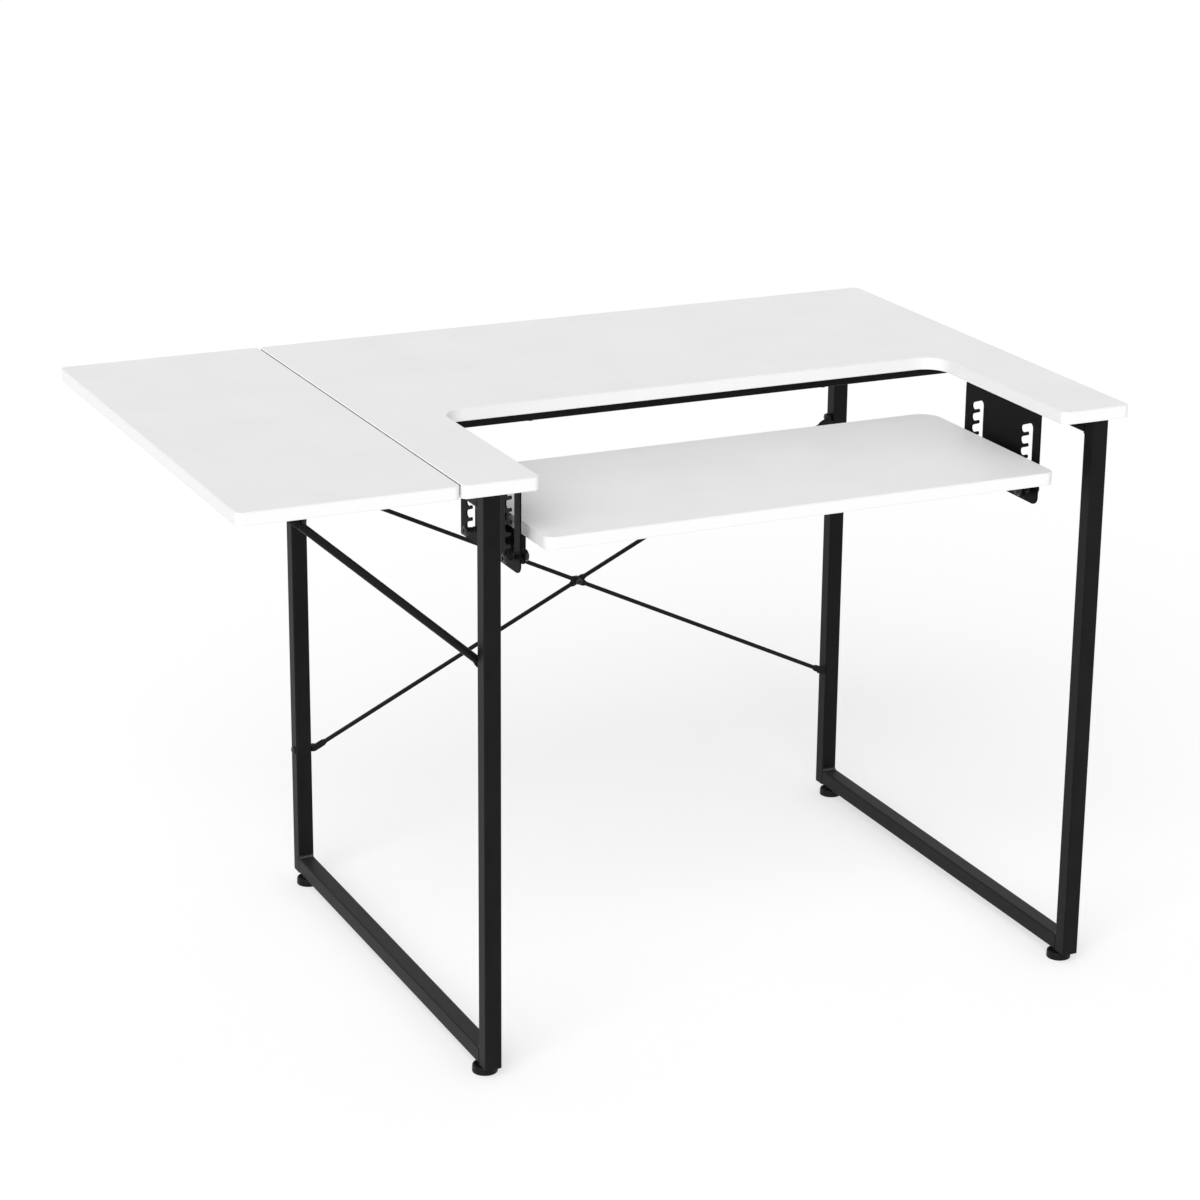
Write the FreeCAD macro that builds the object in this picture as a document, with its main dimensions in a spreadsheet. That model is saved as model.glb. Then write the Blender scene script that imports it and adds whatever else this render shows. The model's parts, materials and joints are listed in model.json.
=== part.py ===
"""Folding sewing table: a U-shaped worktop with a drop leaf and a height-set machine platform.

Axes: X to the right along the front edge, Y to the back, Z up. The origin lies on the floor, under
the middle of the worktop with its leaf raised. Millimetres throughout.
"""
import FreeCAD, Part
import math
import os

import Sketcher

from FreeCAD import Placement, Rotation, Vector

PARTS_FOLDER = "parts"

# Driving sizes: alias, value, what it measures
SIZES = [
    # Boards
    ("table_height", 760.0, "floor to the upper face of the worktop"),
    ("table_depth", 700.0, "front edge to back edge"),
    ("top_width", 900.0, "fixed worktop, left to right"),
    ("leaf_width", 268.0, "drop leaf, left to right"),
    ("seam_gap", 2.0, "open joint between leaf and worktop"),
    ("board_thickness", 16.0, "laminated board of worktop, leaf and platform"),
    ("board_corner_radius", 8.0, "outer corners of the boards, seen from above"),
    ("board_edge_round", 0.8, "softened upper and lower edges of the boards"),
    # Cut-out and platform
    ("lobe_width", 97.0, "worktop beside the opening, at each side"),
    ("cutout_depth", 310.0, "opening, measured back from the front edge"),
    ("cutout_corner_radius", 30.0, "back corners of the opening"),
    ("lobe_corner_radius", 8.0, "front corners of the opening"),
    ("platform_side_gap", 8.0, "opening's side to platform's side"),
    ("platform_back_gap", 4.0, "opening's back to platform's back"),
    ("platform_corner_radius", 28.0, "back corners of the platform"),
    ("platform_front_radius", 12.0, "front corners of the platform"),
    # Square tube frame
    ("tube_width", 22.0, "square tube, outside"),
    ("tube_wall", 1.5, "tube wall"),
    ("tube_corner_radius", 2.5, "outside corner of the tube"),
    ("frame_end_inset", 8.0, "board's front and back edges to the legs"),
    ("left_frame_inset", 29.0, "worktop's left edge to the left side frame"),
    ("right_frame_inset", 25.0, "worktop's right edge to the right side frame"),
    ("plug_depth", 12.0, "end plug inside the foot of each leg"),
    ("crossbar_setback", 41.0, "back of the opening to the crossbar"),
    ("end_plate", 3.0, "plate welded into each end of the crossbar"),
    # Levelling feet
    ("foot_height", 14.0, "floor to the underside of the bottom rail"),
    ("foot_inset", 28.0, "outer face of the leg to the middle of the foot"),
    ("foot_pad_radius", 16.0, "pad on the floor"),
    ("foot_pad_rim", 8.8, "height of the pad's upright rim"),
    ("foot_pad_shoulder", 1.4, "sloping edge above the pad's rim"),
    ("foot_hub_radius", 6.0, "neck of the pad"),
    ("foot_stud_radius", 3.0, "threaded stud"),
    ("foot_stud_length", 29.0, "stud, from inside the pad to its tip"),
    ("foot_stud_sink", 9.0, "stud held in the pad"),
    ("insert_radius", 4.5, "rivet nut, body"),
    ("insert_flange", 6.5, "rivet nut, flange radius"),
    ("insert_flange_height", 1.0, "rivet nut, flange thickness"),
    ("insert_length", 12.0, "rivet nut, body length"),
    # Comb plates and their pins
    ("comb_plate", 2.0, "thickness of comb plates and platform brackets"),
    ("comb_setback", 1.0, "opening's side to the comb plate"),
    ("comb_front_inset", 54.0, "worktop's front edge to the comb plate"),
    ("comb_length", 180.0, "comb plate, front to back"),
    ("comb_drop", 119.0, "comb plate, down from the board"),
    ("comb_flange", 26.0, "flange of the comb plate under the board"),
    ("comb_screw_reach", 15.0, "comb plate's face to the flange's screws"),
    ("bend_inside", 1.0, "inside radius of a bend in the sheet"),
    ("comb_corner_radius", 11.0, "lower front corner of the comb plate"),
    ("comb_margin", 16.5, "front edge of the plate to the channel"),
    ("comb_spacing", 119.0, "front comb to back comb"),
    ("channel_width", 11.0, "upright channel of a comb"),
    ("notch_reach", 28.0, "front of the channel to the end of a notch"),
    ("notch_height", 9.6, "open height of a notch"),
    ("notch_rise", 6.5, "rise of a notch from its end to the channel"),
    ("notch_pitch", 15.0, "one notch to the next"),
    ("notch_count", 6.0, "notches in a comb"),
    ("tooth_round", 2.0, "rounding of the tips between two notches"),
    ("pin_radius", 4.0, "headed pin that rides in a comb"),
    ("pin_head_radius", 6.5, "head of the pin"),
    ("pin_head_height", 3.0, "thickness of the pin's head"),
    ("pin_stand_off", 9.4, "comb plate to the pin's head"),
    ("pin_drop", 28.0, "platform's underside to the pins"),
    ("pin_clearance", 0.3, "pin to the bottom of its channel"),
    ("bracket_flange", 25.0, "platform bracket's flange under the platform"),
    ("bracket_screw_reach", 14.0, "bracket's face to the flange's screws"),
    ("bracket_margin", 10.0, "pin to the bracket's end"),
    ("bracket_foot", 9.0, "pin to the bracket's lower edge"),
    ("bracket_corner_radius", 7.0, "lower corners of the bracket"),
    # Cross brace
    ("brace_low", 193.0, "floor to the lower bolts of the brace"),
    ("brace_high", 578.0, "floor to the upper bolts of the brace"),
    ("rod_radius", 3.0, "round rod of the brace"),
    ("flat_width", 10.0, "flattened stretch of a rod, width"),
    ("flat_thickness", 3.0, "flattened stretch of a rod, thickness"),
    ("flat_half_length", 10.6, "half of the flattened stretch at the crossing"),
    ("flat_end_length", 15.0, "flattened stretch at a rod's end"),
    ("flat_taper", 5.0, "change from round to flat"),
    ("brace_offset", 2.0, "front face of the back legs to the crossing plane"),
    # Hinges of the leaf
    ("hinge_length", 60.0, "hinge along the seam"),
    ("hinge_width", 26.0, "hinge plate, from the pin outwards"),
    ("hinge_plate", 1.5, "thickness of a hinge plate"),
    ("hinge_corner_radius", 3.0, "outer corners of a hinge plate"),
    ("hinge_drop", 3.8, "board's underside to the pin's middle"),
    ("knuckle_radius", 3.4, "outside of a knuckle"),
    ("knuckle_length", 20.0, "middle knuckle of a hinge"),
    ("knuckle_gap", 0.4, "one knuckle to the next"),
    ("hinge_pin_radius", 1.6, "hinge pin"),
    ("hinge_pin_head", 1.2, "head of the hinge pin, height"),
    ("hinge_pin_head_radius", 3.0, "head of the hinge pin, radius"),
    ("hinge_relief", 4.2, "pin's middle to the plate beside the other knuckle"),
    ("hinge_end_inset", 90.0, "board's end to the middle of the outer hinges"),
    ("hinge_screw_reach", 17.0, "pin's middle to the screws"),
    ("hinge_screw_spacing", 21.0, "one hinge screw to the next"),
    # Leaf struts and catches
    ("strut_pivot_height", 527.0, "floor to the strut's pivot"),
    ("strut_reach", 194.0, "seam to the strut's tip"),
    ("strut_radius", 5.0, "round tube of the strut"),
    ("strut_offset", 6.0, "face of the leg to the strut's middle"),
    ("strut_eye_radius", 8.0, "flattened eye at the pivot"),
    ("strut_eye_thickness", 5.0, "flattened eye, thickness"),
    ("strut_neck", 9.0, "pivot to the start of the taper"),
    ("strut_taper", 8.0, "change from flat to round"),
    ("strut_cap_radius", 6.0, "end cap of the strut"),
    ("strut_cap_length", 16.0, "end cap of the strut"),
    ("strut_cap_end", 3.0, "thickness of the cap past the tube"),
    ("pivot_shoulder_radius", 4.0, "shoulder of the pivot bolt"),
    ("pivot_thread_radius", 3.0, "thread of the pivot bolt"),
    ("pivot_thread_length", 11.0, "thread of the pivot bolt"),
    ("pivot_head_radius", 7.0, "head of the pivot bolt"),
    ("pivot_head_height", 3.0, "head of the pivot bolt"),
    ("spacer_radius", 7.0, "spacer between leg and eye"),
    ("catch_plate", 2.0, "sheet of the strut's catch"),
    ("catch_length", 40.0, "catch along the leaf"),
    ("catch_inside", 16.0, "catch between its cheeks"),
    ("catch_cheek", 7.5, "cheeks, down from the sheet"),
    ("catch_flange", 15.0, "flange beside each cheek"),
    ("catch_corner_radius", 3.8, "outer corners of the catch"),
    ("catch_lip", 1.8, "stop lip, height"),
    ("catch_lip_reach", 6.4, "strut's tip to the stop lip"),
    # Fasteners
    ("frame_screw_radius", 2.3, "screw through a rail into a board"),
    ("frame_screw_bite", 11.0, "screw's length in the board"),
    ("frame_screw_spacing", 160.0, "screws along a side rail"),
    ("crossbar_screw_spacing", 420.0, "screws along the crossbar"),
    ("screw_radius", 1.9, "short screw's shank"),
    ("screw_bite", 10.0, "short screw's length in the board"),
    ("screw_head_radius", 3.6, "short screw's head"),
    ("screw_head_height", 1.8, "short screw's head"),
    ("frame_screw_head_radius", 4.6, "long screw's head"),
    ("frame_screw_head_height", 3.0, "long screw's head"),
    ("bolt_radius", 3.0, "bolt of the brace and the crossbar"),
    ("bolt_head_radius", 5.0, "bolt's head"),
    ("bolt_head_height", 2.8, "bolt's head"),
    ("nut_width", 10.0, "nut across its flats"),
    ("nut_height", 5.0, "nut's thickness"),
    ("pin_nut_width", 13.0, "pin's nut across its flats"),
    ("pin_nut_height", 6.0, "pin's nut, thickness"),
    ("thread_end", 1.5, "thread that shows past a nut"),
    ("head_chamfer", 0.8, "softened edge of a head"),
    # Clearances and cuts
    ("hole_clearance", 0.2, "gap all round a bolt or pin in its hole"),
    ("running_clearance", 0.3, "gap between pieces that move"),
    ("overrun", 1.0, "how far a cut runs past what it cuts"),
]


class Size:
    """A number together with the spreadsheet formula that gives it."""

    def __init__(self, value, formula):
        self.value = float(value)
        self.formula = formula

    @staticmethod
    def of(thing):
        return thing if isinstance(thing, Size) else Size(thing, repr(float(thing)))

    def _join(self, other, sign, value):
        return Size(value, "(" + self.formula + " " + sign + " " + Size.of(other).formula + ")")

    def __add__(self, other):
        return self._join(other, "+", self.value + Size.of(other).value)

    def __sub__(self, other):
        return self._join(other, "-", self.value - Size.of(other).value)

    def __mul__(self, other):
        return self._join(other, "*", self.value * Size.of(other).value)

    def __truediv__(self, other):
        return self._join(other, "/", self.value / Size.of(other).value)

    def __radd__(self, other):
        return Size.of(other) + self

    def __rsub__(self, other):
        return Size.of(other) - self

    def __rmul__(self, other):
        return Size.of(other) * self

    def __neg__(self):
        return Size.of(0) - self


def hypotenuse(run, rise):
    return Size(math.hypot(run.value, rise.value), "hypot(" + run.formula + "; " + rise.formula + ")")


def slope_angle(rise, run):
    """Angle of a slope in degrees."""
    degrees = math.degrees(math.atan2(rise.value, run.value))
    return Size(degrees, "atan2(" + rise.formula + "; " + run.formula + ")")


ZERO = Size(0, "0")

doc = FreeCAD.newDocument("sewing_table")
sheet = doc.addObject("Spreadsheet::Sheet", "sizes")


class Sizes:
    """The spreadsheet's values, each under its alias."""


S = Sizes()
for row, (alias, number, note) in enumerate(SIZES, start=1):
    cell = "A" + str(row)
    sheet.set(cell, str(number))
    sheet.setAlias(cell, alias)
    sheet.set("B" + str(row), note)
    setattr(S, alias, Size(number, "sizes." + alias))
doc.recompute()

exported = []


# General builders

def bind(thing, path, size):
    """Tie one property to the spreadsheet."""
    thing.setExpression(path, size.formula)


def place(thing, x=ZERO, y=ZERO, z=ZERO, rotation=None):
    thing.Placement = Placement(Vector(x.value, y.value, z.value), rotation or Rotation())
    bind(thing, "Placement.Base.x", x)
    bind(thing, "Placement.Base.y", y)
    bind(thing, "Placement.Base.z", z)


def keep(thing):
    """Mark an object as a sub-part that gets its own file."""
    exported.append(thing)
    return thing


def new_body(label):
    body = doc.addObject("PartDesign::Body", label)
    body.Label = label
    return body


def new_sketch(body, name, role, offset=None):
    plane = [feature for feature in body.Origin.OriginFeatures if feature.Role == role][0]
    sketch = body.newObject("Sketcher::SketchObject", body.Name + "_" + name)
    sketch.AttachmentSupport = [(plane, "")]
    sketch.MapMode = "FlatFace"
    if offset is not None:
        sketch.AttachmentOffset = Placement(Vector(0, 0, offset.value), Rotation())
        bind(sketch, "AttachmentOffset.Base.z", offset)
    return sketch


def pin_point(sketch, element, point, x, y):
    """Hold a sketch point at x, y from the sketch's origin."""
    for kind, axis, size in (("DistanceX", -2, x), ("DistanceY", -1, y)):
        if size is ZERO:
            sketch.addConstraint(Sketcher.Constraint("PointOnObject", element, point, axis))
        else:
            index = sketch.addConstraint(Sketcher.Constraint(kind, -1, 1, element, point, size.value))
            bind(sketch, "Constraints[" + str(index) + "]", size)


def draw_outline(sketch, points):
    """A closed outline of straight lines through points given as Size pairs."""
    count = len(points)
    first = sketch.GeometryCount
    for index in range(count):
        x0, y0 = points[index]
        x1, y1 = points[(index + 1) % count]
        sketch.addGeometry(Part.LineSegment(Vector(x0.value, y0.value, 0), Vector(x1.value, y1.value, 0)))
    for index in range(count):
        following = first + (index + 1) % count
        sketch.addConstraint(Sketcher.Constraint("Coincident", first + index, 2, following, 1))
    for index, (x, y) in enumerate(points):
        pin_point(sketch, first + index, 1, x, y)


def draw_rectangle(sketch, left, bottom, right, top):
    draw_outline(sketch, [(left, bottom), (right, bottom), (right, top), (left, top)])


def draw_circle(sketch, x, y, radius):
    index = sketch.addGeometry(Part.Circle(Vector(x.value, y.value, 0), Vector(0, 0, 1), radius.value))
    pin_point(sketch, index, 3, x, y)
    datum = sketch.addConstraint(Sketcher.Constraint("Radius", index, radius.value))
    bind(sketch, "Constraints[" + str(datum) + "]", radius)


def draw_slot(sketch, start, end, radius):
    """A slot with round ends about two points."""
    (x0, y0), (x1, y1) = start, end
    heading = math.atan2(y1.value - y0.value, x1.value - x0.value)
    quarter = math.pi / 2
    centres = (Vector(x0.value, y0.value, 0), Vector(x1.value, y1.value, 0))
    arcs = []
    for centre, turn in zip(centres, (heading + quarter, heading - quarter)):
        circle = Part.Circle(centre, Vector(0, 0, 1), radius.value)
        arcs.append(sketch.addGeometry(Part.ArcOfCircle(circle, turn, turn + math.pi)))
    side = Vector(-math.sin(heading), math.cos(heading), 0) * radius.value
    upper = sketch.addGeometry(Part.LineSegment(centres[0] + side, centres[1] + side))
    lower = sketch.addGeometry(Part.LineSegment(centres[0] - side, centres[1] - side))
    for line, line_end, arc, arc_end in ((upper, 1, arcs[0], 1), (upper, 2, arcs[1], 2),
                                         (lower, 1, arcs[0], 2), (lower, 2, arcs[1], 1)):
        sketch.addConstraint(Sketcher.Constraint("Tangent", line, line_end, arc, arc_end))
    sketch.addConstraint(Sketcher.Constraint("Equal", arcs[0], arcs[1]))
    datum = sketch.addConstraint(Sketcher.Constraint("Radius", arcs[0], radius.value))
    bind(sketch, "Constraints[" + str(datum) + "]", radius)
    pin_point(sketch, arcs[0], 3, x0, y0)
    pin_point(sketch, arcs[1], 3, x1, y1)


def pad(body, sketch, length, name="pad", reverse=False, middle=False):
    feature = body.newObject("PartDesign::Pad", body.Name + "_" + name)
    feature.Profile = sketch
    feature.Length = length.value
    bind(feature, "Length", length)
    feature.Reversed = reverse
    feature.Midplane = middle
    doc.recompute()
    return feature


def pocket(body, sketch, name="pocket", length=None, reverse=False, middle=False):
    """Cut along a sketch; the cut has to remove something."""
    before = body.Shape.Volume
    feature = body.newObject("PartDesign::Pocket", body.Name + "_" + name)
    feature.Profile = sketch
    if length is None:
        feature.Type = "ThroughAll"
    else:
        feature.Type = "Length"
        feature.Length = length.value
        bind(feature, "Length", length)
    feature.Reversed = reverse
    feature.Midplane = middle
    doc.recompute()
    if not body.Shape.Volume < before:
        raise RuntimeError("cut removed nothing: " + feature.Name)
    return feature


def revolve(body, sketch, name="turned"):
    feature = body.newObject("PartDesign::Revolution", body.Name + "_" + name)
    feature.Profile = sketch
    feature.ReferenceAxis = (sketch, ["V_Axis"])
    feature.Angle = 360
    doc.recompute()
    return feature


def loft(body, first, last, name="taper"):
    feature = body.newObject("PartDesign::AdditiveLoft", body.Name + "_" + name)
    feature.Profile = first
    feature.Sections = [(last, [""])]
    feature.Ruled = True
    doc.recompute()
    return feature


def repeat(body, originals, direction_sketch, axis, length, count, name):
    """Copies of features in a row; length is the span from first to last."""
    feature = body.newObject("PartDesign::LinearPattern", body.Name + "_" + name)
    feature.Originals = originals
    feature.Direction = (direction_sketch, [axis])
    feature.Length = length.value
    bind(feature, "Length", length)
    feature.Occurrences = int(count.value)
    bind(feature, "Occurrences", count)
    body.Tip = feature
    doc.recompute()
    return feature


def soften(body, kind, size, test, name):
    """Fillet or Chamfer every edge of the body that passes a test."""
    base = body.Tip
    names = ["Edge" + str(index) for index, edge in enumerate(base.Shape.Edges, start=1) if test(edge)]
    feature = body.newObject("PartDesign::" + kind, body.Name + "_" + name)
    feature.Base = (base, names)
    if kind == "Fillet":
        feature.Radius = size.value
        bind(feature, "Radius", size)
    else:
        feature.Size = size.value
        bind(feature, "Size", size)
    doc.recompute()
    return feature


TOUCH = 1e-3


def is_line(edge):
    return isinstance(edge.Curve, (Part.Line, Part.LineSegment))


def runs_along(edge, axis):
    """True for a straight edge along X, Y or Z, given as 0, 1 or 2."""
    if not is_line(edge):
        return False
    direction = edge.Vertexes[-1].Point - edge.Vertexes[0].Point
    return abs(abs(direction[axis]) - direction.Length) < TOUCH


def near(edge, axis, size):
    return all(abs(vertex.Point[axis] - size.value) < TOUCH for vertex in edge.Vertexes)


def upright_at(places):
    """A test for edges along Z that stand at one of some places."""
    def test(edge):
        if not runs_along(edge, 2):
            return False
        point = edge.Vertexes[0].Point
        return any(abs(point.x - x.value) < TOUCH and abs(point.y - y.value) < TOUCH for x, y in places)
    return test


def lies_at(axis, *sizes):
    """A test for edges that lie whole in a plane square to an axis."""
    def test(edge):
        box = edge.BoundBox
        low = (box.XMin, box.YMin, box.ZMin)[axis]
        high = (box.XMax, box.YMax, box.ZMax)[axis]
        return any(abs(low - size.value) < TOUCH and abs(high - size.value) < TOUCH for size in sizes)
    return test


# Places that several pieces share

left_edge = -(S.leaf_width + S.seam_gap + S.top_width) / 2
leaf_right = left_edge + S.leaf_width
seam = leaf_right + S.seam_gap / 2
top_left = leaf_right + S.seam_gap
top_right = top_left + S.top_width
front_edge = -S.table_depth / 2
back_edge = S.table_depth / 2
underside = S.table_height - S.board_thickness

cutout_left = top_left + S.lobe_width
cutout_right = top_right - S.lobe_width
cutout_back = front_edge + S.cutout_depth

half_tube = S.tube_width / 2
left_frame = top_left + S.left_frame_inset + half_tube
right_frame = top_right - S.right_frame_inset - half_tube
front_leg = front_edge + S.frame_end_inset + half_tube
back_leg = back_edge - S.frame_end_inset - half_tube
leg_length = underside - S.foot_height
rail_length = back_leg - front_leg - S.tube_width
top_rail_middle = underside - half_tube
bottom_rail_middle = S.foot_height + half_tube
crossbar_middle = cutout_back + S.crossbar_setback + half_tube

platform_left = cutout_left + S.platform_side_gap
platform_right = cutout_right - S.platform_side_gap
platform_back = cutout_back - S.platform_back_gap
platform_drop = S.notch_pitch * (S.notch_count - 1)
platform_underside = underside - platform_drop
pin_height = platform_underside - S.pin_drop

comb_front = front_edge + S.comb_front_inset
channel_middle = comb_front + S.comb_margin + S.channel_width / 2
pin_places = [channel_middle, channel_middle + S.comb_spacing]

foot_places = [(x, y) for x in (left_frame, right_frame)
               for y in (front_leg - half_tube + S.foot_inset, back_leg + half_tube - S.foot_inset)]

rail_screw_shares = (-1.5, -0.5, 0.5, 1.5)
rail_screw_places = [(x, S.frame_screw_spacing * share) for x in (left_frame, right_frame)
                     for share in rail_screw_shares]
frame_middle = (left_frame + right_frame) / 2
crossbar_screw_places = [(frame_middle + S.crossbar_screw_spacing * share, crossbar_middle)
                         for share in (-0.5, 0.5)]

hinge_height = underside - S.hinge_drop
hinge_places = {"front": front_edge + S.hinge_end_inset,
                "middle": ZERO,
                "back": back_edge - S.hinge_end_inset}
hinge_screw_steps = [S.hinge_screw_spacing * share for share in (-1, 0, 1)]
hinge_top_screw_places = [(seam + S.hinge_screw_reach, y + step)
                          for y in hinge_places.values() for step in hinge_screw_steps]
hinge_leaf_screw_places = [(seam - S.hinge_screw_reach, y + step)
                           for y in hinge_places.values() for step in hinge_screw_steps]

comb_left_face = cutout_left - S.comb_setback
comb_right_face = cutout_right + S.comb_setback
comb_middle = comb_front + S.comb_length / 2
comb_screw_shares = (-0.38, 0, 0.38)
comb_screw_steps = [S.comb_length * share for share in comb_screw_shares]
comb_screw_places = [(x, comb_middle + step)
                     for x in (comb_left_face - S.comb_screw_reach, comb_right_face + S.comb_screw_reach)
                     for step in comb_screw_steps]

bracket_front = pin_places[0] - S.bracket_margin
bracket_length = S.comb_spacing + S.bracket_margin * 2
bracket_middle = bracket_front + bracket_length / 2
bracket_screw_shares = (-0.4, 0, 0.4)
bracket_screw_steps = [bracket_length * share for share in bracket_screw_shares]
bracket_screw_places = [(x, bracket_middle + step)
                        for x in (platform_left + S.bracket_screw_reach,
                                  platform_right - S.bracket_screw_reach)
                        for step in bracket_screw_steps]

strut_planes = {"front": front_leg + half_tube + S.strut_offset,
                "back": back_leg - half_tube - S.strut_offset}
tip_height = underside - S.catch_plate - S.running_clearance - S.strut_cap_radius
strut_run = left_frame - (seam - S.strut_reach)
strut_rise = tip_height - S.strut_pivot_height
strut_length = hypotenuse(strut_run, strut_rise)
strut_angle = slope_angle(strut_rise, strut_run)
catch_screw_reach = (S.catch_inside + S.catch_flange) / 2 + S.catch_plate
catch_screw_places = [(seam - S.strut_reach, y + catch_screw_reach * side)
                      for y in strut_planes.values() for side in (-1, 1)]

brace_plane = back_leg - half_tube + S.brace_offset
brace_middle_height = (S.brace_low + S.brace_high) / 2
brace_run = (right_frame - left_frame - S.tube_width) / 2
brace_rise = (S.brace_high - S.brace_low) / 2
brace_half = hypotenuse(brace_run, brace_rise)
brace_slope = slope_angle(brace_rise, brace_run)
slim_share = 0.7
bar_share = 0.7
strut_square_share = 0.84
cap_round_share = 0.95


# Boards

def drill(body, places, radius, depth, name):
    """Blind screw holes up into a board's underside."""
    sketch = new_sketch(body, name + "_sketch", "XY_Plane")
    for x, y in places:
        draw_circle(sketch, x, y, radius)
    return pocket(body, sketch, name, length=depth, reverse=True)


def soften_board_edges(body):
    return soften(body, "Fillet", S.board_edge_round, lies_at(2, S.board_thickness), "upper_edges")


def build_main_top():
    """Worktop with its U-shaped opening at the front; local Z is zero on the underside."""
    body = new_body("main_top")
    outline = new_sketch(body, "outline", "XY_Plane")
    draw_outline(outline, [(top_left, front_edge), (cutout_left, front_edge),
                           (cutout_left, cutout_back), (cutout_right, cutout_back),
                           (cutout_right, front_edge), (top_right, front_edge),
                           (top_right, back_edge), (top_left, back_edge)])
    pad(body, outline, S.board_thickness)
    outer = [(x, y) for x in (top_left, top_right) for y in (front_edge, back_edge)]
    soften(body, "Fillet", S.board_corner_radius, upright_at(outer), "outer_corners")
    inner = [(cutout_left, cutout_back), (cutout_right, cutout_back)]
    soften(body, "Fillet", S.cutout_corner_radius, upright_at(inner), "cutout_corners")
    lobes = [(cutout_left, front_edge), (cutout_right, front_edge)]
    soften(body, "Fillet", S.lobe_corner_radius, upright_at(lobes), "lobe_corners")
    soften_board_edges(body)
    drill(body, rail_screw_places + crossbar_screw_places, S.frame_screw_radius,
          S.frame_screw_bite, "frame_holes")
    drill(body, hinge_top_screw_places + comb_screw_places, S.screw_radius, S.screw_bite, "plate_holes")
    place(body, z=underside)
    return keep(body)


def build_drop_leaf():
    """Leaf to the left of the seam."""
    body = new_body("drop_leaf")
    outline = new_sketch(body, "outline", "XY_Plane")
    draw_rectangle(outline, left_edge, front_edge, leaf_right, back_edge)
    pad(body, outline, S.board_thickness)
    corners = [(x, y) for x in (left_edge, leaf_right) for y in (front_edge, back_edge)]
    soften(body, "Fillet", S.board_corner_radius, upright_at(corners), "corners")
    soften_board_edges(body)
    drill(body, hinge_leaf_screw_places + catch_screw_places, S.screw_radius, S.screw_bite, "plate_holes")
    place(body, z=underside)
    return keep(body)


def build_machine_platform():
    """Board that carries the machine, at its lowest notch."""
    body = new_body("machine_platform")
    outline = new_sketch(body, "outline", "XY_Plane")
    draw_rectangle(outline, platform_left, front_edge, platform_right, platform_back)
    pad(body, outline, S.board_thickness)
    back = [(platform_left, platform_back), (platform_right, platform_back)]
    soften(body, "Fillet", S.platform_corner_radius, upright_at(back), "back_corners")
    front = [(platform_left, front_edge), (platform_right, front_edge)]
    soften(body, "Fillet", S.platform_front_radius, upright_at(front), "front_corners")
    soften_board_edges(body)
    drill(body, bracket_screw_places, S.screw_radius, S.screw_bite, "plate_holes")
    place(body, z=platform_underside)
    return keep(body)


# Side frames and crossbar

def square_tube(label, length):
    """Hollow tube along local Z, about its own middle line, starting at zero."""
    body = new_body(label)
    outside = new_sketch(body, "outside", "XY_Plane")
    draw_rectangle(outside, -half_tube, -half_tube, half_tube, half_tube)
    pad(body, outside, length)
    corners = [(half_tube * x, half_tube * y) for x in (-1, 1) for y in (-1, 1)]
    soften(body, "Fillet", S.tube_corner_radius, upright_at(corners), "corners")
    inside = new_sketch(body, "inside", "XY_Plane")
    half_inside = half_tube - S.tube_wall
    draw_rectangle(inside, -half_inside, -half_inside, half_inside, half_inside)
    pocket(body, inside, "hollow", reverse=True)
    return body


def cross_holes(body, role, places, radius, name):
    """Holes right through a tube, square to an origin plane."""
    sketch = new_sketch(body, name + "_sketch", role)
    for x, y in places:
        draw_circle(sketch, x, y, radius)
    return pocket(body, sketch, name, middle=True)


def wall_hole(body, role, offset, places, radius, name, reverse):
    """Holes through one wall of a tube, cut inwards from outside it."""
    sketch = new_sketch(body, name + "_sketch", role, offset)
    for x, y in places:
        draw_circle(sketch, x, y, radius)
    return pocket(body, sketch, name, length=S.tube_wall + S.overrun * 2, reverse=reverse)


UPRIGHT = Rotation()
ALONG_Y = Rotation(Vector(1, 0, 0), -90)
AGAINST_Y = Rotation(Vector(1, 0, 0), 90)
ALONG_X = Rotation(Vector(0, 1, 0), 90)
AGAINST_X = Rotation(Vector(0, 1, 0), -90)

bolt_hole = S.bolt_radius + S.hole_clearance


def build_leg(side, end, x, y):
    """A leg, from the bottom rail's underside up to the board."""
    body = square_tube(side + "_" + end + "_leg", leg_length)
    if end == "back":
        heights = [S.brace_low - S.foot_height, S.brace_high - S.foot_height]
        cross_holes(body, "YZ_Plane", [(ZERO, height) for height in heights], bolt_hole, "brace_holes")
    if side == "left":
        height = S.strut_pivot_height - S.foot_height
        thread_hole = S.pivot_thread_radius + S.hole_clearance
        face = half_tube + S.overrun
        # The sketch plane's normal points to -Y, so the back face lies at a negative offset.
        if end == "front":
            wall_hole(body, "XZ_Plane", -face, [(ZERO, height)], thread_hole, "pivot_hole", True)
        else:
            wall_hole(body, "XZ_Plane", face, [(ZERO, height)], thread_hole, "pivot_hole", False)
    place(body, x, y, S.foot_height)
    return keep(body)


def build_top_rail(side, x):
    """Rail under the board, between the two legs of a side frame."""
    body = square_tube(side + "_top_rail", rail_length)
    start = front_leg + half_tube
    screws = [(ZERO, place_y - start) for place_x, place_y in rail_screw_places if place_x is x]
    screw_hole = S.frame_screw_radius + S.hole_clearance
    # Turned so that local Z runs to the back, local Y points down.
    cross_holes(body, "XZ_Plane", screws, screw_hole, "screw_holes")
    cross_holes(body, "YZ_Plane", [(ZERO, crossbar_middle - start)], bolt_hole, "crossbar_hole")
    place(body, x, start, top_rail_middle, ALONG_Y)
    return keep(body)


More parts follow.
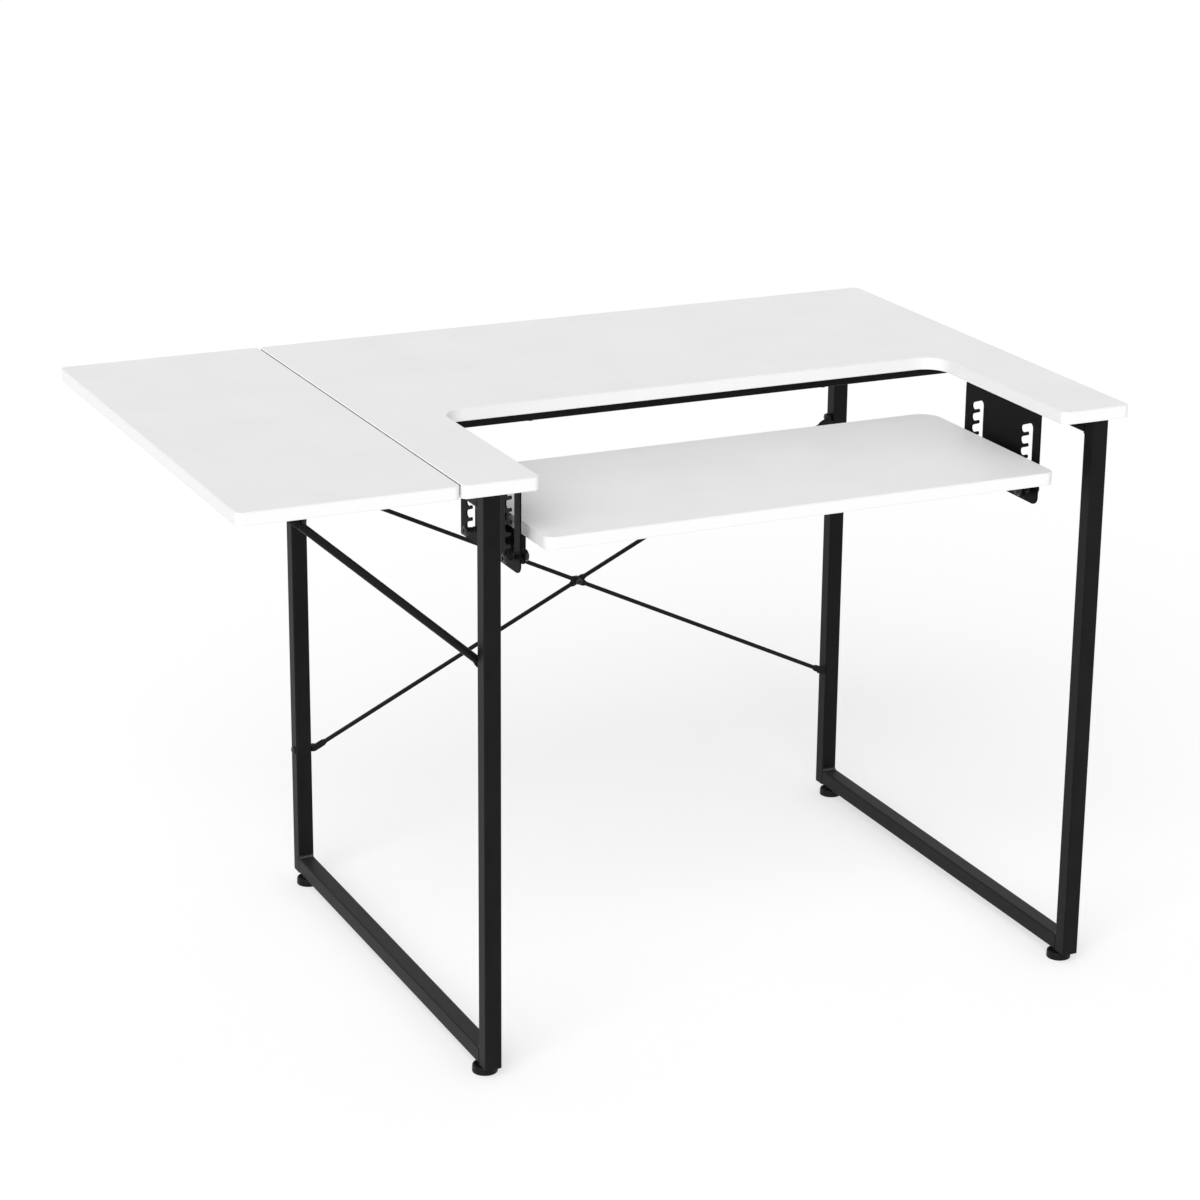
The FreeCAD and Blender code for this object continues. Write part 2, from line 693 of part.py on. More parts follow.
def build_bottom_rail(side, x):
    """Rail near the floor, with a hole for each rivet nut."""
    body = square_tube(side + "_bottom_rail", rail_length)
    start = front_leg + half_tube
    feet = [(ZERO, place_y - start) for place_x, place_y in foot_places if place_x is x]
    face = half_tube + S.overrun
    wall_hole(body, "XZ_Plane", -face, feet, S.insert_radius + S.hole_clearance, "insert_holes", True)
    place(body, x, start, bottom_rail_middle, ALONG_Y)
    return keep(body)


def build_crossbar():
    """Bar under the worktop, between the two top rails, with a tapped plate in each end."""
    length = right_frame - left_frame - S.tube_width
    body = new_body("crossbar")
    outside = new_sketch(body, "outside", "XY_Plane")
    draw_rectangle(outside, -half_tube, -half_tube, half_tube, half_tube)
    pad(body, outside, length)
    corners = [(half_tube * x, half_tube * y) for x in (-1, 1) for y in (-1, 1)]
    soften(body, "Fillet", S.tube_corner_radius, upright_at(corners), "corners")
    half_inside = half_tube - S.tube_wall
    inside = new_sketch(body, "inside", "XZ_Plane")
    draw_rectangle(inside, -half_inside, S.end_plate, half_inside, length - S.end_plate)
    pocket(body, inside, "hollow", length=half_inside * 2, middle=True)
    taps = new_sketch(body, "taps", "XY_Plane")
    draw_circle(taps, ZERO, ZERO, bolt_hole)
    pocket(body, taps, "tapped_ends", reverse=True)
    start = left_frame + half_tube
    screws = [(ZERO, place_x - start) for place_x, place_y in crossbar_screw_places]
    screw_hole = S.frame_screw_radius + S.hole_clearance
    # Turned so that local Z runs to the right, local X points down.
    cross_holes(body, "YZ_Plane", screws, screw_hole, "screw_holes")
    place(body, start, crossbar_middle, top_rail_middle, ALONG_X)
    return keep(body)


# Fasteners: masters with the head below zero and the shank up along Z

def turned_master(label, profile):
    """A body of revolution from a half profile of radius and height pairs."""
    body = new_body(label)
    sketch = new_sketch(body, "profile", "XZ_Plane")
    draw_outline(sketch, profile)
    revolve(body, sketch)
    return body


def headed_master(label, head_radius, head_height, shank_radius, shank_length):
    """A headed screw or bolt with a softened head."""
    return turned_master(label, [(ZERO, -head_height), (head_radius - S.head_chamfer, -head_height),
                                 (head_radius, S.head_chamfer - head_height), (head_radius, ZERO),
                                 (shank_radius, ZERO), (shank_radius, shank_length), (ZERO, shank_length)])


def hexagon_points(width):
    """Corners of a hexagon, given its width across flats."""
    radius = width / math.sqrt(3)
    shares = [(math.cos(math.radians(60 * step)), math.sin(math.radians(60 * step))) for step in range(6)]
    return [(radius * x, radius * y) for x, y in shares]


def nut_master(label, width, height, bore_radius):
    body = new_body(label)
    sketch = new_sketch(body, "outline", "XY_Plane")
    draw_outline(sketch, hexagon_points(width))
    draw_circle(sketch, ZERO, ZERO, bore_radius)
    pad(body, sketch, height)
    return body


def group(label, master, spots):
    """Separate copies of one fastener, each at x, y, z with a turn."""
    links = []
    for index, (x, y, z, turn) in enumerate(spots, start=1):
        link = doc.addObject("App::Link", label + "_" + str(index))
        link.LinkedObject = master
        place(link, x, y, z, turn)
        links.append(link)
    compound = doc.addObject("Part::Compound", label)
    compound.Label = label
    compound.Links = links
    return keep(compound)


def build_board_screws():
    long_screw = headed_master("long_screw", S.frame_screw_head_radius, S.frame_screw_head_height,
                               S.frame_screw_radius, S.tube_width + S.frame_screw_bite)
    rail_bottom = underside - S.tube_width
    places = rail_screw_places + crossbar_screw_places
    group("frame_screws", long_screw, [(x, y, rail_bottom, UPRIGHT) for x, y in places])

    hinge_screw = headed_master("hinge_screw", S.screw_head_radius, S.screw_head_height,
                                S.screw_radius, S.hinge_plate + S.screw_bite)
    hinge_face = underside - S.hinge_plate
    group("hinge_top_screws", hinge_screw,
          [(x, y, hinge_face, UPRIGHT) for x, y in hinge_top_screw_places])
    group("hinge_leaf_screws", hinge_screw,
          [(x, y, hinge_face, UPRIGHT) for x, y in hinge_leaf_screw_places])

    plate_screw = headed_master("plate_screw", S.screw_head_radius, S.screw_head_height,
                                S.screw_radius, S.comb_plate + S.screw_bite)
    group("comb_plate_screws", plate_screw,
          [(x, y, underside - S.comb_plate, UPRIGHT) for x, y in comb_screw_places])
    group("platform_bracket_screws", plate_screw,
          [(x, y, platform_underside - S.comb_plate, UPRIGHT) for x, y in bracket_screw_places])

    catch_screw = headed_master("catch_screw", S.screw_head_radius, S.screw_head_height,
                                S.screw_radius, S.catch_plate + S.screw_bite)
    group("catch_screws", catch_screw,
          [(x, y, underside - S.catch_plate, UPRIGHT) for x, y in catch_screw_places])


def build_frame_bolts():
    """Bolts of the brace and the crossbar."""
    outer_faces = [(left_frame - half_tube, ALONG_X), (right_frame + half_tube, AGAINST_X)]
    brace_bolt_length = S.tube_width + S.flat_thickness + S.nut_height + S.thread_end
    brace_bolt = headed_master("brace_bolt", S.bolt_head_radius, S.bolt_head_height,
                               S.bolt_radius, brace_bolt_length)
    heights = (S.brace_low, S.brace_high)
    group("brace_end_bolts", brace_bolt,
          [(x, back_leg, z, turn) for x, turn in outer_faces for z in heights])

    nut = nut_master("small_nut", S.nut_width, S.nut_height, bolt_hole)
    inner_faces = [(left_frame + half_tube + S.flat_thickness, ALONG_X),
                   (right_frame - half_tube - S.flat_thickness, AGAINST_X)]
    group("brace_end_nuts", nut, [(x, back_leg, z, turn) for x, turn in inner_faces for z in heights])

    crossing_bolt = headed_master("brace_crossing_bolt", S.bolt_head_radius, S.bolt_head_height,
                                  S.bolt_radius, S.flat_thickness * 2 + S.nut_height + S.thread_end)
    place(crossing_bolt, frame_middle, brace_plane - S.flat_thickness, brace_middle_height, ALONG_Y)
    keep(crossing_bolt)
    crossing_nut = nut_master("brace_crossing_nut", S.nut_width, S.nut_height, bolt_hole)
    place(crossing_nut, frame_middle, brace_plane + S.flat_thickness, brace_middle_height, ALONG_Y)
    keep(crossing_nut)

    crossbar_bolt = headed_master("crossbar_bolt", S.bolt_head_radius, S.bolt_head_height, S.bolt_radius,
                                  S.tube_width + S.end_plate + S.thread_end)
    group("crossbar_bolts", crossbar_bolt,
          [(x, crossbar_middle, top_rail_middle, turn) for x, turn in outer_faces])


# Cross brace

def primitive(kind, name, sizes, x=ZERO, y=ZERO, z=ZERO, rotation=None):
    """A primitive solid whose properties and place are bound to the sheet."""
    thing = doc.addObject("Part::" + kind, name)
    for path, size in sizes.items():
        setattr(thing, path, size.value)
        bind(thing, path, size)
    place(thing, x, y, z, rotation)
    return thing


def fuse(name, pieces):
    joined = doc.addObject("Part::MultiFuse", name)
    joined.Shapes = pieces
    joined.Refine = True
    return joined


def flat_stretch(name, start, length):
    """Flattened stretch of a straight rod that lies along X."""
    sizes = {"Length": length, "Width": S.flat_thickness, "Height": S.flat_width}
    return primitive("Box", name, sizes, start, -S.flat_thickness / 2, -S.flat_width / 2)


def flat_to_round(name, flat_end, heading):
    """Taper that starts flat and points to the round bar; heading is its direction along X."""
    slim = S.rod_radius * slim_share
    sizes = {"Xmin": -S.flat_width / 2, "Xmax": S.flat_width / 2,
             "Zmin": -S.flat_thickness / 2, "Zmax": S.flat_thickness / 2,
             "Ymin": ZERO, "Ymax": S.flat_taper,
             "X2min": -slim, "X2max": slim, "Z2min": -slim, "Z2max": slim}
    # Local Y runs along the rod, local X across its flat.
    turn = Rotation(Vector(1, 1, 1), 240)
    if heading < 0:
        turn = Rotation(Vector(0, 0, 1), 180) * turn
    return primitive("Wedge", name, sizes, flat_end, rotation=turn)


def straight_rod(label):
    """Round rod along X, flattened in the middle and at both ends, then turned to its slope."""
    bar_start = S.flat_half_length + S.flat_taper * bar_share
    bar_end = brace_half - S.flat_end_length - S.flat_taper * bar_share
    pieces = [flat_stretch(label + "_middle_flat", -S.flat_half_length, S.flat_half_length * 2)]
    for end, way in (("left", -1), ("right", 1)):
        name = label + "_" + end
        sizes = {"Radius": S.rod_radius, "Height": bar_end - bar_start}
        turn = ALONG_X if way > 0 else AGAINST_X
        pieces.append(primitive("Cylinder", name + "_bar", sizes, bar_start * way, rotation=turn))
        pieces.append(flat_to_round(name + "_inner_taper", S.flat_half_length * way, way))
        outer_flat = brace_half - S.flat_end_length
        pieces.append(flat_to_round(name + "_outer_taper", outer_flat * way, -way))
        length = S.flat_end_length + S.flat_width
        start = outer_flat if way > 0 else -outer_flat - length
        pieces.append(flat_stretch(name + "_flat", start, length))
    return fuse(label + "_straight", pieces)


def end_tab(name, way, lean, reach):
    """Flat tab bent back against the leg's inner face, with a round end about the bolt."""
    x = brace_run - S.flat_thickness if way > 0 else -brace_run
    z = -brace_rise * (lean * way)
    half_thickness = S.flat_thickness / 2
    sizes = {"Length": S.flat_thickness, "Width": reach + half_thickness, "Height": S.flat_width}
    tab = primitive("Box", name + "_tab", sizes, x, -half_thickness, z - S.flat_width / 2)
    sizes = {"Radius": S.flat_width / 2, "Height": S.flat_thickness}
    tip = primitive("Cylinder", name + "_tab_end", sizes, x, reach, z, ALONG_X)
    return [tab, tip]


def build_brace_rod(label, lean, side):
    """One rod of the cross.

    lean is 1 for the rod that falls to the right and -1 for the other; side is -1 for the rod in
    front of the crossing plane and 1 for the one behind it.
    """
    middle_y = brace_plane + S.flat_thickness / 2 * side
    reach = back_leg - middle_y
    sloping = straight_rod(label)
    sloping.Placement = Placement(Vector(), Rotation(Vector(0, 1, 0), brace_slope.value * lean))
    bind(sloping, "Placement.Rotation.Angle", brace_slope * lean)
    tabs = end_tab(label + "_left", -1, lean, reach) + end_tab(label + "_right", 1, lean, reach)
    joined = fuse(label + "_joined", [sloping] + tabs)

    sizes = {"Length": brace_run * 2, "Width": S.tube_width * 2, "Height": brace_half * 2}
    span = primitive("Box", label + "_span", sizes, -brace_run, -S.tube_width, -brace_half)
    between = doc.addObject("Part::Common", label + "_between_legs")
    between.Base = joined
    between.Tool = span

    sizes = {"Radius": bolt_hole, "Height": S.flat_width * 2}
    drill_end = -S.flat_width
    holes = [primitive("Cylinder", label + "_middle_hole", sizes, ZERO, drill_end, ZERO, ALONG_Y)]
    for end, way in (("left", -1), ("right", 1)):
        holes.append(primitive("Cylinder", label + "_" + end + "_hole", sizes, brace_run * way + drill_end,
                               reach, -brace_rise * (lean * way), ALONG_X))
    rod = doc.addObject("Part::Cut", label)
    rod.Base = between
    rod.Tool = fuse(label + "_holes", holes)
    rod.Label = label
    place(rod, frame_middle, middle_y, brace_middle_height)
    return keep(rod)


# Comb plates, platform brackets and headed pins

def bend_sheet(body, heading):
    """Round the bend between an upright sheet and its flange, inside and outside.

    The sheet's outer face lies at local X zero and the flange's at local Z zero; heading is the
    direction along X in which the flange points.
    """
    def at(x, z):
        return lambda edge: runs_along(edge, 1) and near(edge, 0, x) and near(edge, 2, z)

    soften(body, "Fillet", S.bend_inside + S.comb_plate, at(ZERO, ZERO), "outer_bend")
    inner = at(S.comb_plate * heading, -S.comb_plate)
    soften(body, "Fillet", S.bend_inside, inner, "inner_bend")


def build_comb_plate(side, outward):
    """Plate with two notched slots and a flange under the board.

    Local X is zero on the face beside the opening and outward is its direction from there; local Y
    starts at the plate's front end and local Z is zero on the board's underside.
    """
    body = new_body(side + "_comb_plate")
    outline = new_sketch(body, "outline", "YZ_Plane")
    draw_rectangle(outline, ZERO, -S.comb_drop, S.comb_length, ZERO)
    pad(body, outline, S.comb_plate, reverse=outward < 0)
    flange = new_sketch(body, "flange_outline", "XY_Plane")
    draw_rectangle(flange, ZERO, ZERO, S.comb_flange * outward, S.comb_length)
    pad(body, flange, S.comb_plate, "flange", reverse=True)
    bend_sheet(body, outward)

    def front_foot(edge):
        return runs_along(edge, 0) and near(edge, 1, ZERO) and near(edge, 2, -S.comb_drop)

    soften(body, "Fillet", S.comb_corner_radius, front_foot, "front_corner")

    half_channel = S.channel_width / 2
    channel_y = S.comb_margin + half_channel
    notch_radius = S.notch_height / 2
    notch_end_y = S.comb_margin + S.notch_reach - notch_radius
    lowest = pin_height - underside
    highest = lowest + platform_drop
    channel_foot = lowest - S.pin_radius - S.pin_clearance + half_channel
    channel_head = highest + S.notch_rise + notch_radius - half_channel
    for name, shift in (("front", ZERO), ("back", S.comb_spacing)):
        middle = channel_y + shift
        channel = new_sketch(body, name + "_channel_outline", "YZ_Plane")
        draw_slot(channel, (middle, channel_foot), (middle, channel_head), half_channel)
        pocket(body, channel, name + "_channel", middle=True)
        notch = new_sketch(body, name + "_notch_outline", "YZ_Plane")
        draw_slot(notch, (notch_end_y + shift, lowest), (middle, lowest + S.notch_rise), notch_radius)
        notch_cut = pocket(body, notch, name + "_notch", middle=True)
        repeat(body, [notch_cut], notch, "V_Axis", platform_drop, S.notch_count, name + "_notches")

    def tooth_tip(edge):
        if not runs_along(edge, 0):
            return False
        back_of_channel = channel_y + half_channel
        on_line = near(edge, 1, back_of_channel) or near(edge, 1, back_of_channel + S.comb_spacing)
        height = edge.Vertexes[0].Point.z
        between = lowest.value + S.notch_rise.value < height < highest.value
        return on_line and between

    soften(body, "Fillet", S.tooth_round, tooth_tip, "tooth_tips")

    screws = new_sketch(body, "screw_holes_outline", "XY_Plane")
    for step in comb_screw_steps:
        draw_circle(screws, S.comb_screw_reach * outward, S.comb_length / 2 + step,
                    S.screw_radius + S.hole_clearance)
    pocket(body, screws, "screw_holes", length=S.comb_plate + S.overrun)
    face = comb_left_face if outward < 0 else comb_right_face
    place(body, face, comb_front, underside)
    return keep(body)


def build_platform_bracket(side, inward):
    """Angle under the platform's side that carries two headed pins.

    Local X is zero on the platform's side face, local Y on the bracket's front end and local Z on
    the platform's underside.
    """
    body = new_body(side + "_platform_bracket")
    height = S.pin_drop + S.bracket_foot
    outline = new_sketch(body, "outline", "YZ_Plane")
    draw_rectangle(outline, ZERO, -height, bracket_length, ZERO)
    pad(body, outline, S.comb_plate, reverse=inward < 0)
    flange = new_sketch(body, "flange_outline", "XY_Plane")
    draw_rectangle(flange, ZERO, ZERO, S.bracket_flange * inward, bracket_length)
    pad(body, flange, S.comb_plate, "flange", reverse=True)
    bend_sheet(body, inward)

    def lower_corner(edge):
        return runs_along(edge, 0) and near(edge, 2, -height)

    soften(body, "Fillet", S.bracket_corner_radius, lower_corner, "lower_corners")
    pins = new_sketch(body, "pin_holes_outline", "YZ_Plane")
    for y in (S.bracket_margin, S.bracket_margin + S.comb_spacing):
        draw_circle(pins, y, -S.pin_drop, S.pin_radius + S.hole_clearance)
    pocket(body, pins, "pin_holes", middle=True)
    screws = new_sketch(body, "screw_holes_outline", "XY_Plane")
    for step in bracket_screw_steps:
        draw_circle(screws, S.bracket_screw_reach * inward, bracket_length / 2 + step,
                    S.screw_radius + S.hole_clearance)
    pocket(body, screws, "screw_holes", length=S.comb_plate + S.overrun)
    face = platform_left if inward > 0 else platform_right
    place(body, face, bracket_front, platform_underside)
    return keep(body)


def build_platform_pins():
    """Four headed pins through the combs, with a nut behind each bracket."""
    gap = S.platform_side_gap + S.comb_setback
    bracket_inside = S.pin_stand_off + S.comb_plate + gap + S.comb_plate
    length = bracket_inside + S.pin_nut_height + S.thread_end
    pin = headed_master("headed_pin", S.pin_head_radius, S.pin_head_height, S.pin_radius, length)
    nut = nut_master("pin_nut", S.pin_nut_width, S.pin_nut_height, S.pin_radius + S.hole_clearance)
    left_seat = comb_left_face - S.comb_plate - S.pin_stand_off
    right_seat = comb_right_face + S.comb_plate + S.pin_stand_off
    sides = [(left_seat, ALONG_X), (right_seat, AGAINST_X)]
    group("platform_pins", pin, [(x, y, pin_height, turn) for x, turn in sides for y in pin_places])
    nut_sides = [(left_seat + bracket_inside, ALONG_X), (right_seat - bracket_inside, AGAINST_X)]
    group("platform_pin_nuts", nut,
          [(x, y, pin_height, turn) for x, turn in nut_sides for y in pin_places])


# Hinges

def build_hinge(name, y):
    """A butt hinge under the seam: a plate on the worktop, a plate on the leaf and a pin."""
    half = S.hinge_length / 2
    half_middle = S.knuckle_length / 2
    pin_hole = S.hinge_pin_radius + S.hole_clearance
    plate_low = S.hinge_drop - S.hinge_plate
    stretches = {"top": [(-half, -half_middle - S.knuckle_gap), (half_middle + S.knuckle_gap, half)],
                 "leaf": [(-half_middle, half_middle)]}
    for board, outward in (("top", 1), ("leaf", -1)):
        body = new_body(name + "_hinge_" + board + "_plate")
        # Local frame: the pin's middle is the origin and the plate lies above it.
        plate = new_sketch(body, "plate_outline", "XY_Plane", plate_low)
        draw_rectangle(plate, S.hinge_relief * outward, -half, S.hinge_width * outward, half)
        pad(body, plate, S.hinge_plate)
        outer = [(S.hinge_width * outward, y_end) for y_end in (-half, half)]
        soften(body, "Fillet", S.hinge_corner_radius, upright_at(outer), "corners")
        for index, (start, end) in enumerate(stretches[board]):
            tongue = new_sketch(body, "tongue_outline" + str(index), "XY_Plane", plate_low)
            draw_rectangle(tongue, ZERO, start, S.hinge_relief * outward, end)
            # The tongue stops below the knuckle's crown, so that nothing stands above it.
            pad(body, tongue, S.knuckle_radius - plate_low, "tongue" + str(index))
            knuckle = new_sketch(body, "knuckle_outline" + str(index), "XZ_Plane", -end)
            draw_circle(knuckle, ZERO, ZERO, S.knuckle_radius)
            pad(body, knuckle, end - start, "knuckle" + str(index))
        bore = new_sketch(body, "bore_outline", "XZ_Plane")
        draw_circle(bore, ZERO, ZERO, pin_hole)
        pocket(body, bore, "bore", middle=True)
        screws = new_sketch(body, "screw_holes_outline", "XY_Plane", plate_low)
        for step in hinge_screw_steps:
            draw_circle(screws, S.hinge_screw_reach * outward, step, S.screw_radius + S.hole_clearance)
        pocket(body, screws, "screw_holes", length=S.hinge_plate + S.overrun, reverse=True)
        place(body, seam, y, hinge_height)
        keep(body)

    pin_length = S.hinge_length + S.hinge_pin_head
    pin = headed_master(name + "_hinge_pin", S.hinge_pin_head_radius, S.hinge_pin_head,
                        S.hinge_pin_radius, pin_length)
    place(pin, seam, y - half, hinge_height, ALONG_Y)
    keep(pin)


# Leaf struts

def build_strut(end, y):
    """Strut from a left leg to the raised leaf; it runs along local -X from its pivot."""
    body = new_body(end + "_strut")
    eye = new_sketch(body, "eye_outline", "XZ_Plane")
    draw_slot(eye, (ZERO, ZERO), (-S.strut_neck, ZERO), S.strut_eye_radius)
    pad(body, eye, S.strut_eye_thickness, "eye", middle=True)
    flat = new_sketch(body, "flat_outline", "YZ_Plane", -S.strut_neck)
    half_flat = S.strut_eye_thickness / 2
    draw_rectangle(flat, -half_flat, -S.strut_eye_radius, half_flat, S.strut_eye_radius)
    bar_start = -S.strut_neck - S.strut_taper
    square = new_sketch(body, "square_outline", "YZ_Plane", bar_start)
    half_square = S.strut_radius * strut_square_share
    draw_rectangle(square, -half_square, -half_square, half_square, half_square)
    loft(body, flat, square)
    bar = new_sketch(body, "bar_outline", "YZ_Plane", bar_start + S.strut_radius / 2)
    draw_circle(bar, ZERO, ZERO, S.strut_radius)
    tube_end = strut_length - S.strut_cap_end
    pad(body, bar, tube_end - S.strut_neck - S.strut_taper + S.strut_radius / 2, "bar", reverse=True)
    hole = new_sketch(body, "pivot_outline", "XZ_Plane")
    draw_circle(hole, ZERO, ZERO, S.pivot_shoulder_radius + S.hole_clearance)
    pocket(body, hole, "pivot_hole", middle=True)
    place(body, left_frame, y, S.strut_pivot_height, Rotation(Vector(0, 1, 0), strut_angle.value))
    bind(body, "Placement.Rotation.Angle", strut_angle)
    keep(body)

    cap = new_body(end + "_strut_cap")
    profile = new_sketch(cap, "profile", "XZ_Plane")
    open_end = S.strut_cap_length - S.strut_cap_end
    draw_outline(profile, [(ZERO, S.strut_cap_radius), (S.strut_cap_radius, S.strut_cap_radius),
                           (S.strut_cap_radius, -open_end), (S.strut_radius, -open_end),
                           (S.strut_radius, -S.strut_cap_end), (ZERO, -S.strut_cap_end)])
    revolve(cap, profile)
    soften(cap, "Fillet", S.strut_cap_radius * cap_round_share, lies_at(2, S.strut_cap_radius), "round_end")
    tip_x = seam - S.strut_reach
    # Local Z points out of the strut's free end.
    place(cap, tip_x, y, tip_height, Rotation(Vector(0, 1, 0), strut_angle.value - 90))
    keep(cap)


def build_strut_pivots():
    """Shoulder bolts and spacers that carry the struts on the left legs."""
    spacer_length = S.strut_offset - S.strut_eye_thickness / 2 - S.running_clearance
    shoulder = S.strut_offset + S.strut_eye_thickness / 2 + S.running_clearance
    bolt = turned_master("pivot_bolt", [
        (ZERO, -S.pivot_head_height), (S.pivot_head_radius - S.head_chamfer, -S.pivot_head_height),
        (S.pivot_head_radius, S.head_chamfer - S.pivot_head_height), (S.pivot_head_radius, ZERO),
        (S.pivot_shoulder_radius, ZERO), (S.pivot_shoulder_radius, shoulder),
        (S.pivot_thread_radius, shoulder), (S.pivot_thread_radius, shoulder + S.pivot_thread_length),
        (ZERO, shoulder + S.pivot_thread_length)])
    bore = S.pivot_shoulder_radius + S.hole_clearance
    spacer = turned_master("pivot_spacer", [(bore, ZERO), (S.spacer_radius, ZERO),
                                            (S.spacer_radius, spacer_length), (bore, spacer_length)])
    front_face = front_leg + half_tube
    back_face = back_leg - half_tube
    group("strut_pivot_bolts", bolt,
          [(left_frame, front_face + shoulder, S.strut_pivot_height, AGAINST_Y),
           (left_frame, back_face - shoulder, S.strut_pivot_height, ALONG_Y)])
    group("strut_pivot_spacers", spacer,
          [(left_frame, front_face, S.strut_pivot_height, ALONG_Y),
           (left_frame, back_face, S.strut_pivot_height, AGAINST_Y)])


def build_strut_catch(end, y):
    """Channel under the leaf that holds the strut's tip, with a stop lip past it."""
    body = new_body(end + "_strut_catch")
    half_inside = S.catch_inside / 2
    half_length = S.catch_length / 2
    cheek_out = half_inside + S.catch_plate
    reach = cheek_out + S.catch_flange
    profile = new_sketch(body, "section", "YZ_Plane")
    draw_outline(profile, [(-reach, ZERO), (-reach, -S.catch_plate), (-cheek_out, -S.catch_plate),
                           (-cheek_out, -S.catch_cheek), (-half_inside, -S.catch_cheek),
                           (-half_inside, -S.catch_plate), (half_inside, -S.catch_plate),
                           (half_inside, -S.catch_cheek), (cheek_out, -S.catch_cheek),
                           (cheek_out, -S.catch_plate), (reach, -S.catch_plate), (reach, ZERO)])
    pad(body, profile, S.catch_length, middle=True)
    lip = new_sketch(body, "lip_outline", "XZ_Plane")
    lip_x = -S.catch_lip_reach
    draw_rectangle(lip, lip_x - S.catch_plate, -S.catch_plate - S.catch_lip, lip_x, -S.catch_plate / 2)
    pad(body, lip, S.catch_inside, "lip", middle=True)

    def outer_corner(edge):
        ends = abs(edge.Vertexes[0].Point.x) > half_length.value - TOUCH
        sides = abs(edge.Vertexes[0].Point.y) > reach.value - TOUCH
        return runs_along(edge, 2) and ends and sides

    soften(body, "Fillet", S.catch_corner_radius, outer_corner, "corners")
    screws = new_sketch(body, "screw_holes_outline", "XY_Plane")
    for side in (-1, 1):
        draw_circle(screws, ZERO, catch_screw_reach * side, S.screw_radius + S.hole_clearance)
    pocket(body, screws, "screw_holes", length=S.catch_plate + S.overrun)
    place(body, seam - S.strut_reach, y, underside)
    return keep(body)


# Levelling feet and small frame pieces

def build_feet():
    """Pad and stud of each levelling foot, screwed right in."""
    corners = ("front_left", "back_left", "front_right", "back_right")
    hub_top = S.foot_height - S.insert_flange_height - S.running_clearance
    for name, (x, y) in zip(corners, foot_places):
        stud_bottom = hub_top - S.foot_stud_sink
        shelf = S.foot_pad_rim + S.foot_pad_shoulder
        pad_body = turned_master(name + "_foot_pad", [
            (ZERO, ZERO), (S.foot_pad_radius - S.head_chamfer, ZERO), (S.foot_pad_radius, S.head_chamfer),
            (S.foot_pad_radius, S.foot_pad_rim), (S.foot_pad_radius - S.foot_pad_shoulder, shelf),
            (S.foot_hub_radius, shelf), (S.foot_hub_radius, hub_top),
            (S.foot_stud_radius, hub_top), (S.foot_stud_radius, stud_bottom), (ZERO, stud_bottom)])
        place(pad_body, x, y, ZERO)
        keep(pad_body)
        stud = turned_master(name + "_foot_stud", [
            (ZERO, ZERO), (S.foot_stud_radius, ZERO),
            (S.foot_stud_radius, S.foot_stud_length - S.head_chamfer),
            (S.foot_stud_radius - S.head_chamfer, S.foot_stud_length), (ZERO, S.foot_stud_length)])
        place(stud, x, y, stud_bottom)
        keep(stud)

    bore = S.foot_stud_radius + S.running_clearance
    rivet_nut = turned_master("rivet_nut", [
        (bore, -S.insert_flange_height), (S.insert_flange, -S.insert_flange_height),
        (S.insert_flange, ZERO), (S.insert_radius, ZERO), (S.insert_radius, S.insert_length),
        (bore, S.insert_length)])
    group("foot_rivet_nuts", rivet_nut, [(x, y, S.foot_height, UPRIGHT) for x, y in foot_places])


def build_leg_plugs():
    """Plugs pressed into the open lower ends of the legs."""
    plug = new_body("leg_plug")
    half_inside = half_tube - S.tube_wall
    sketch = new_sketch(plug, "outline", "XY_Plane")
    draw_rectangle(sketch, -half_inside, -half_inside, half_inside, half_inside)
    pad(plug, sketch, S.plug_depth)
    soften(plug, "Chamfer", S.tube_wall, lies_at(2, S.plug_depth), "lead_in")
    group("leg_end_plugs", plug, [(x, y, S.foot_height, UPRIGHT)
                                  for x in (left_frame, right_frame) for y in (front_leg, back_leg)])


# The whole table

def build_table():
    build_main_top()
    build_drop_leaf()
    build_machine_platform()
    for side, x in (("left", left_frame), ("right", right_frame)):
        build_leg(side, "front", x, front_leg)
        build_leg(side, "back", x, back_leg)
        build_top_rail(side, x)
        build_bottom_rail(side, x)
    build_crossbar()
    build_leg_plugs()
    build_brace_rod("falling_brace_rod", 1, -1)
    build_brace_rod("rising_brace_rod", -1, 1)
    build_comb_plate("left", -1)
    build_comb_plate("right", 1)
    build_platform_bracket("left", 1)
    build_platform_bracket("right", -1)
    build_platform_pins()
    for name, y in hinge_places.items():
        build_hinge(name, y)
    for end, y in strut_planes.items():
        build_strut(end, y)
        build_strut_catch(end, y)
    build_strut_pivots()
    build_board_screws()
    build_frame_bolts()
    build_feet()


def check_document():
    """Stop if any object failed or any sub-part has no sound shape."""
    for thing in doc.Objects:
        if "Invalid" in thing.State or "Error" in thing.State:
            raise RuntimeError("failed object: " + thing.Name + " " + str(thing.State))
    for thing in exported:
        if thing.Shape.isNull() or not thing.Shape.isValid():
            raise RuntimeError("unsound shape: " + thing.Label)


def write_parts():
    os.makedirs(PARTS_FOLDER, exist_ok=True)
    for thing in exported:
        thing.Shape.exportStep(os.path.join(PARTS_FOLDER, thing.Label + ".step"))


build_table()
doc.recompute()
check_document()
write_parts()
print(len(exported), "sub-parts written")
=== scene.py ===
"""Looks of the folding sewing table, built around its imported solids.

Metres, in the frame of the solids: X to the right along the front edge, Y to the back, Z up, and
the floor at zero.
"""
import json
import logging
import math
from collections.abc import Sequence
from dataclasses import dataclass, replace
from enum import Enum
from typing import Protocol

import bmesh
import bpy
from mathutils import Matrix, Vector


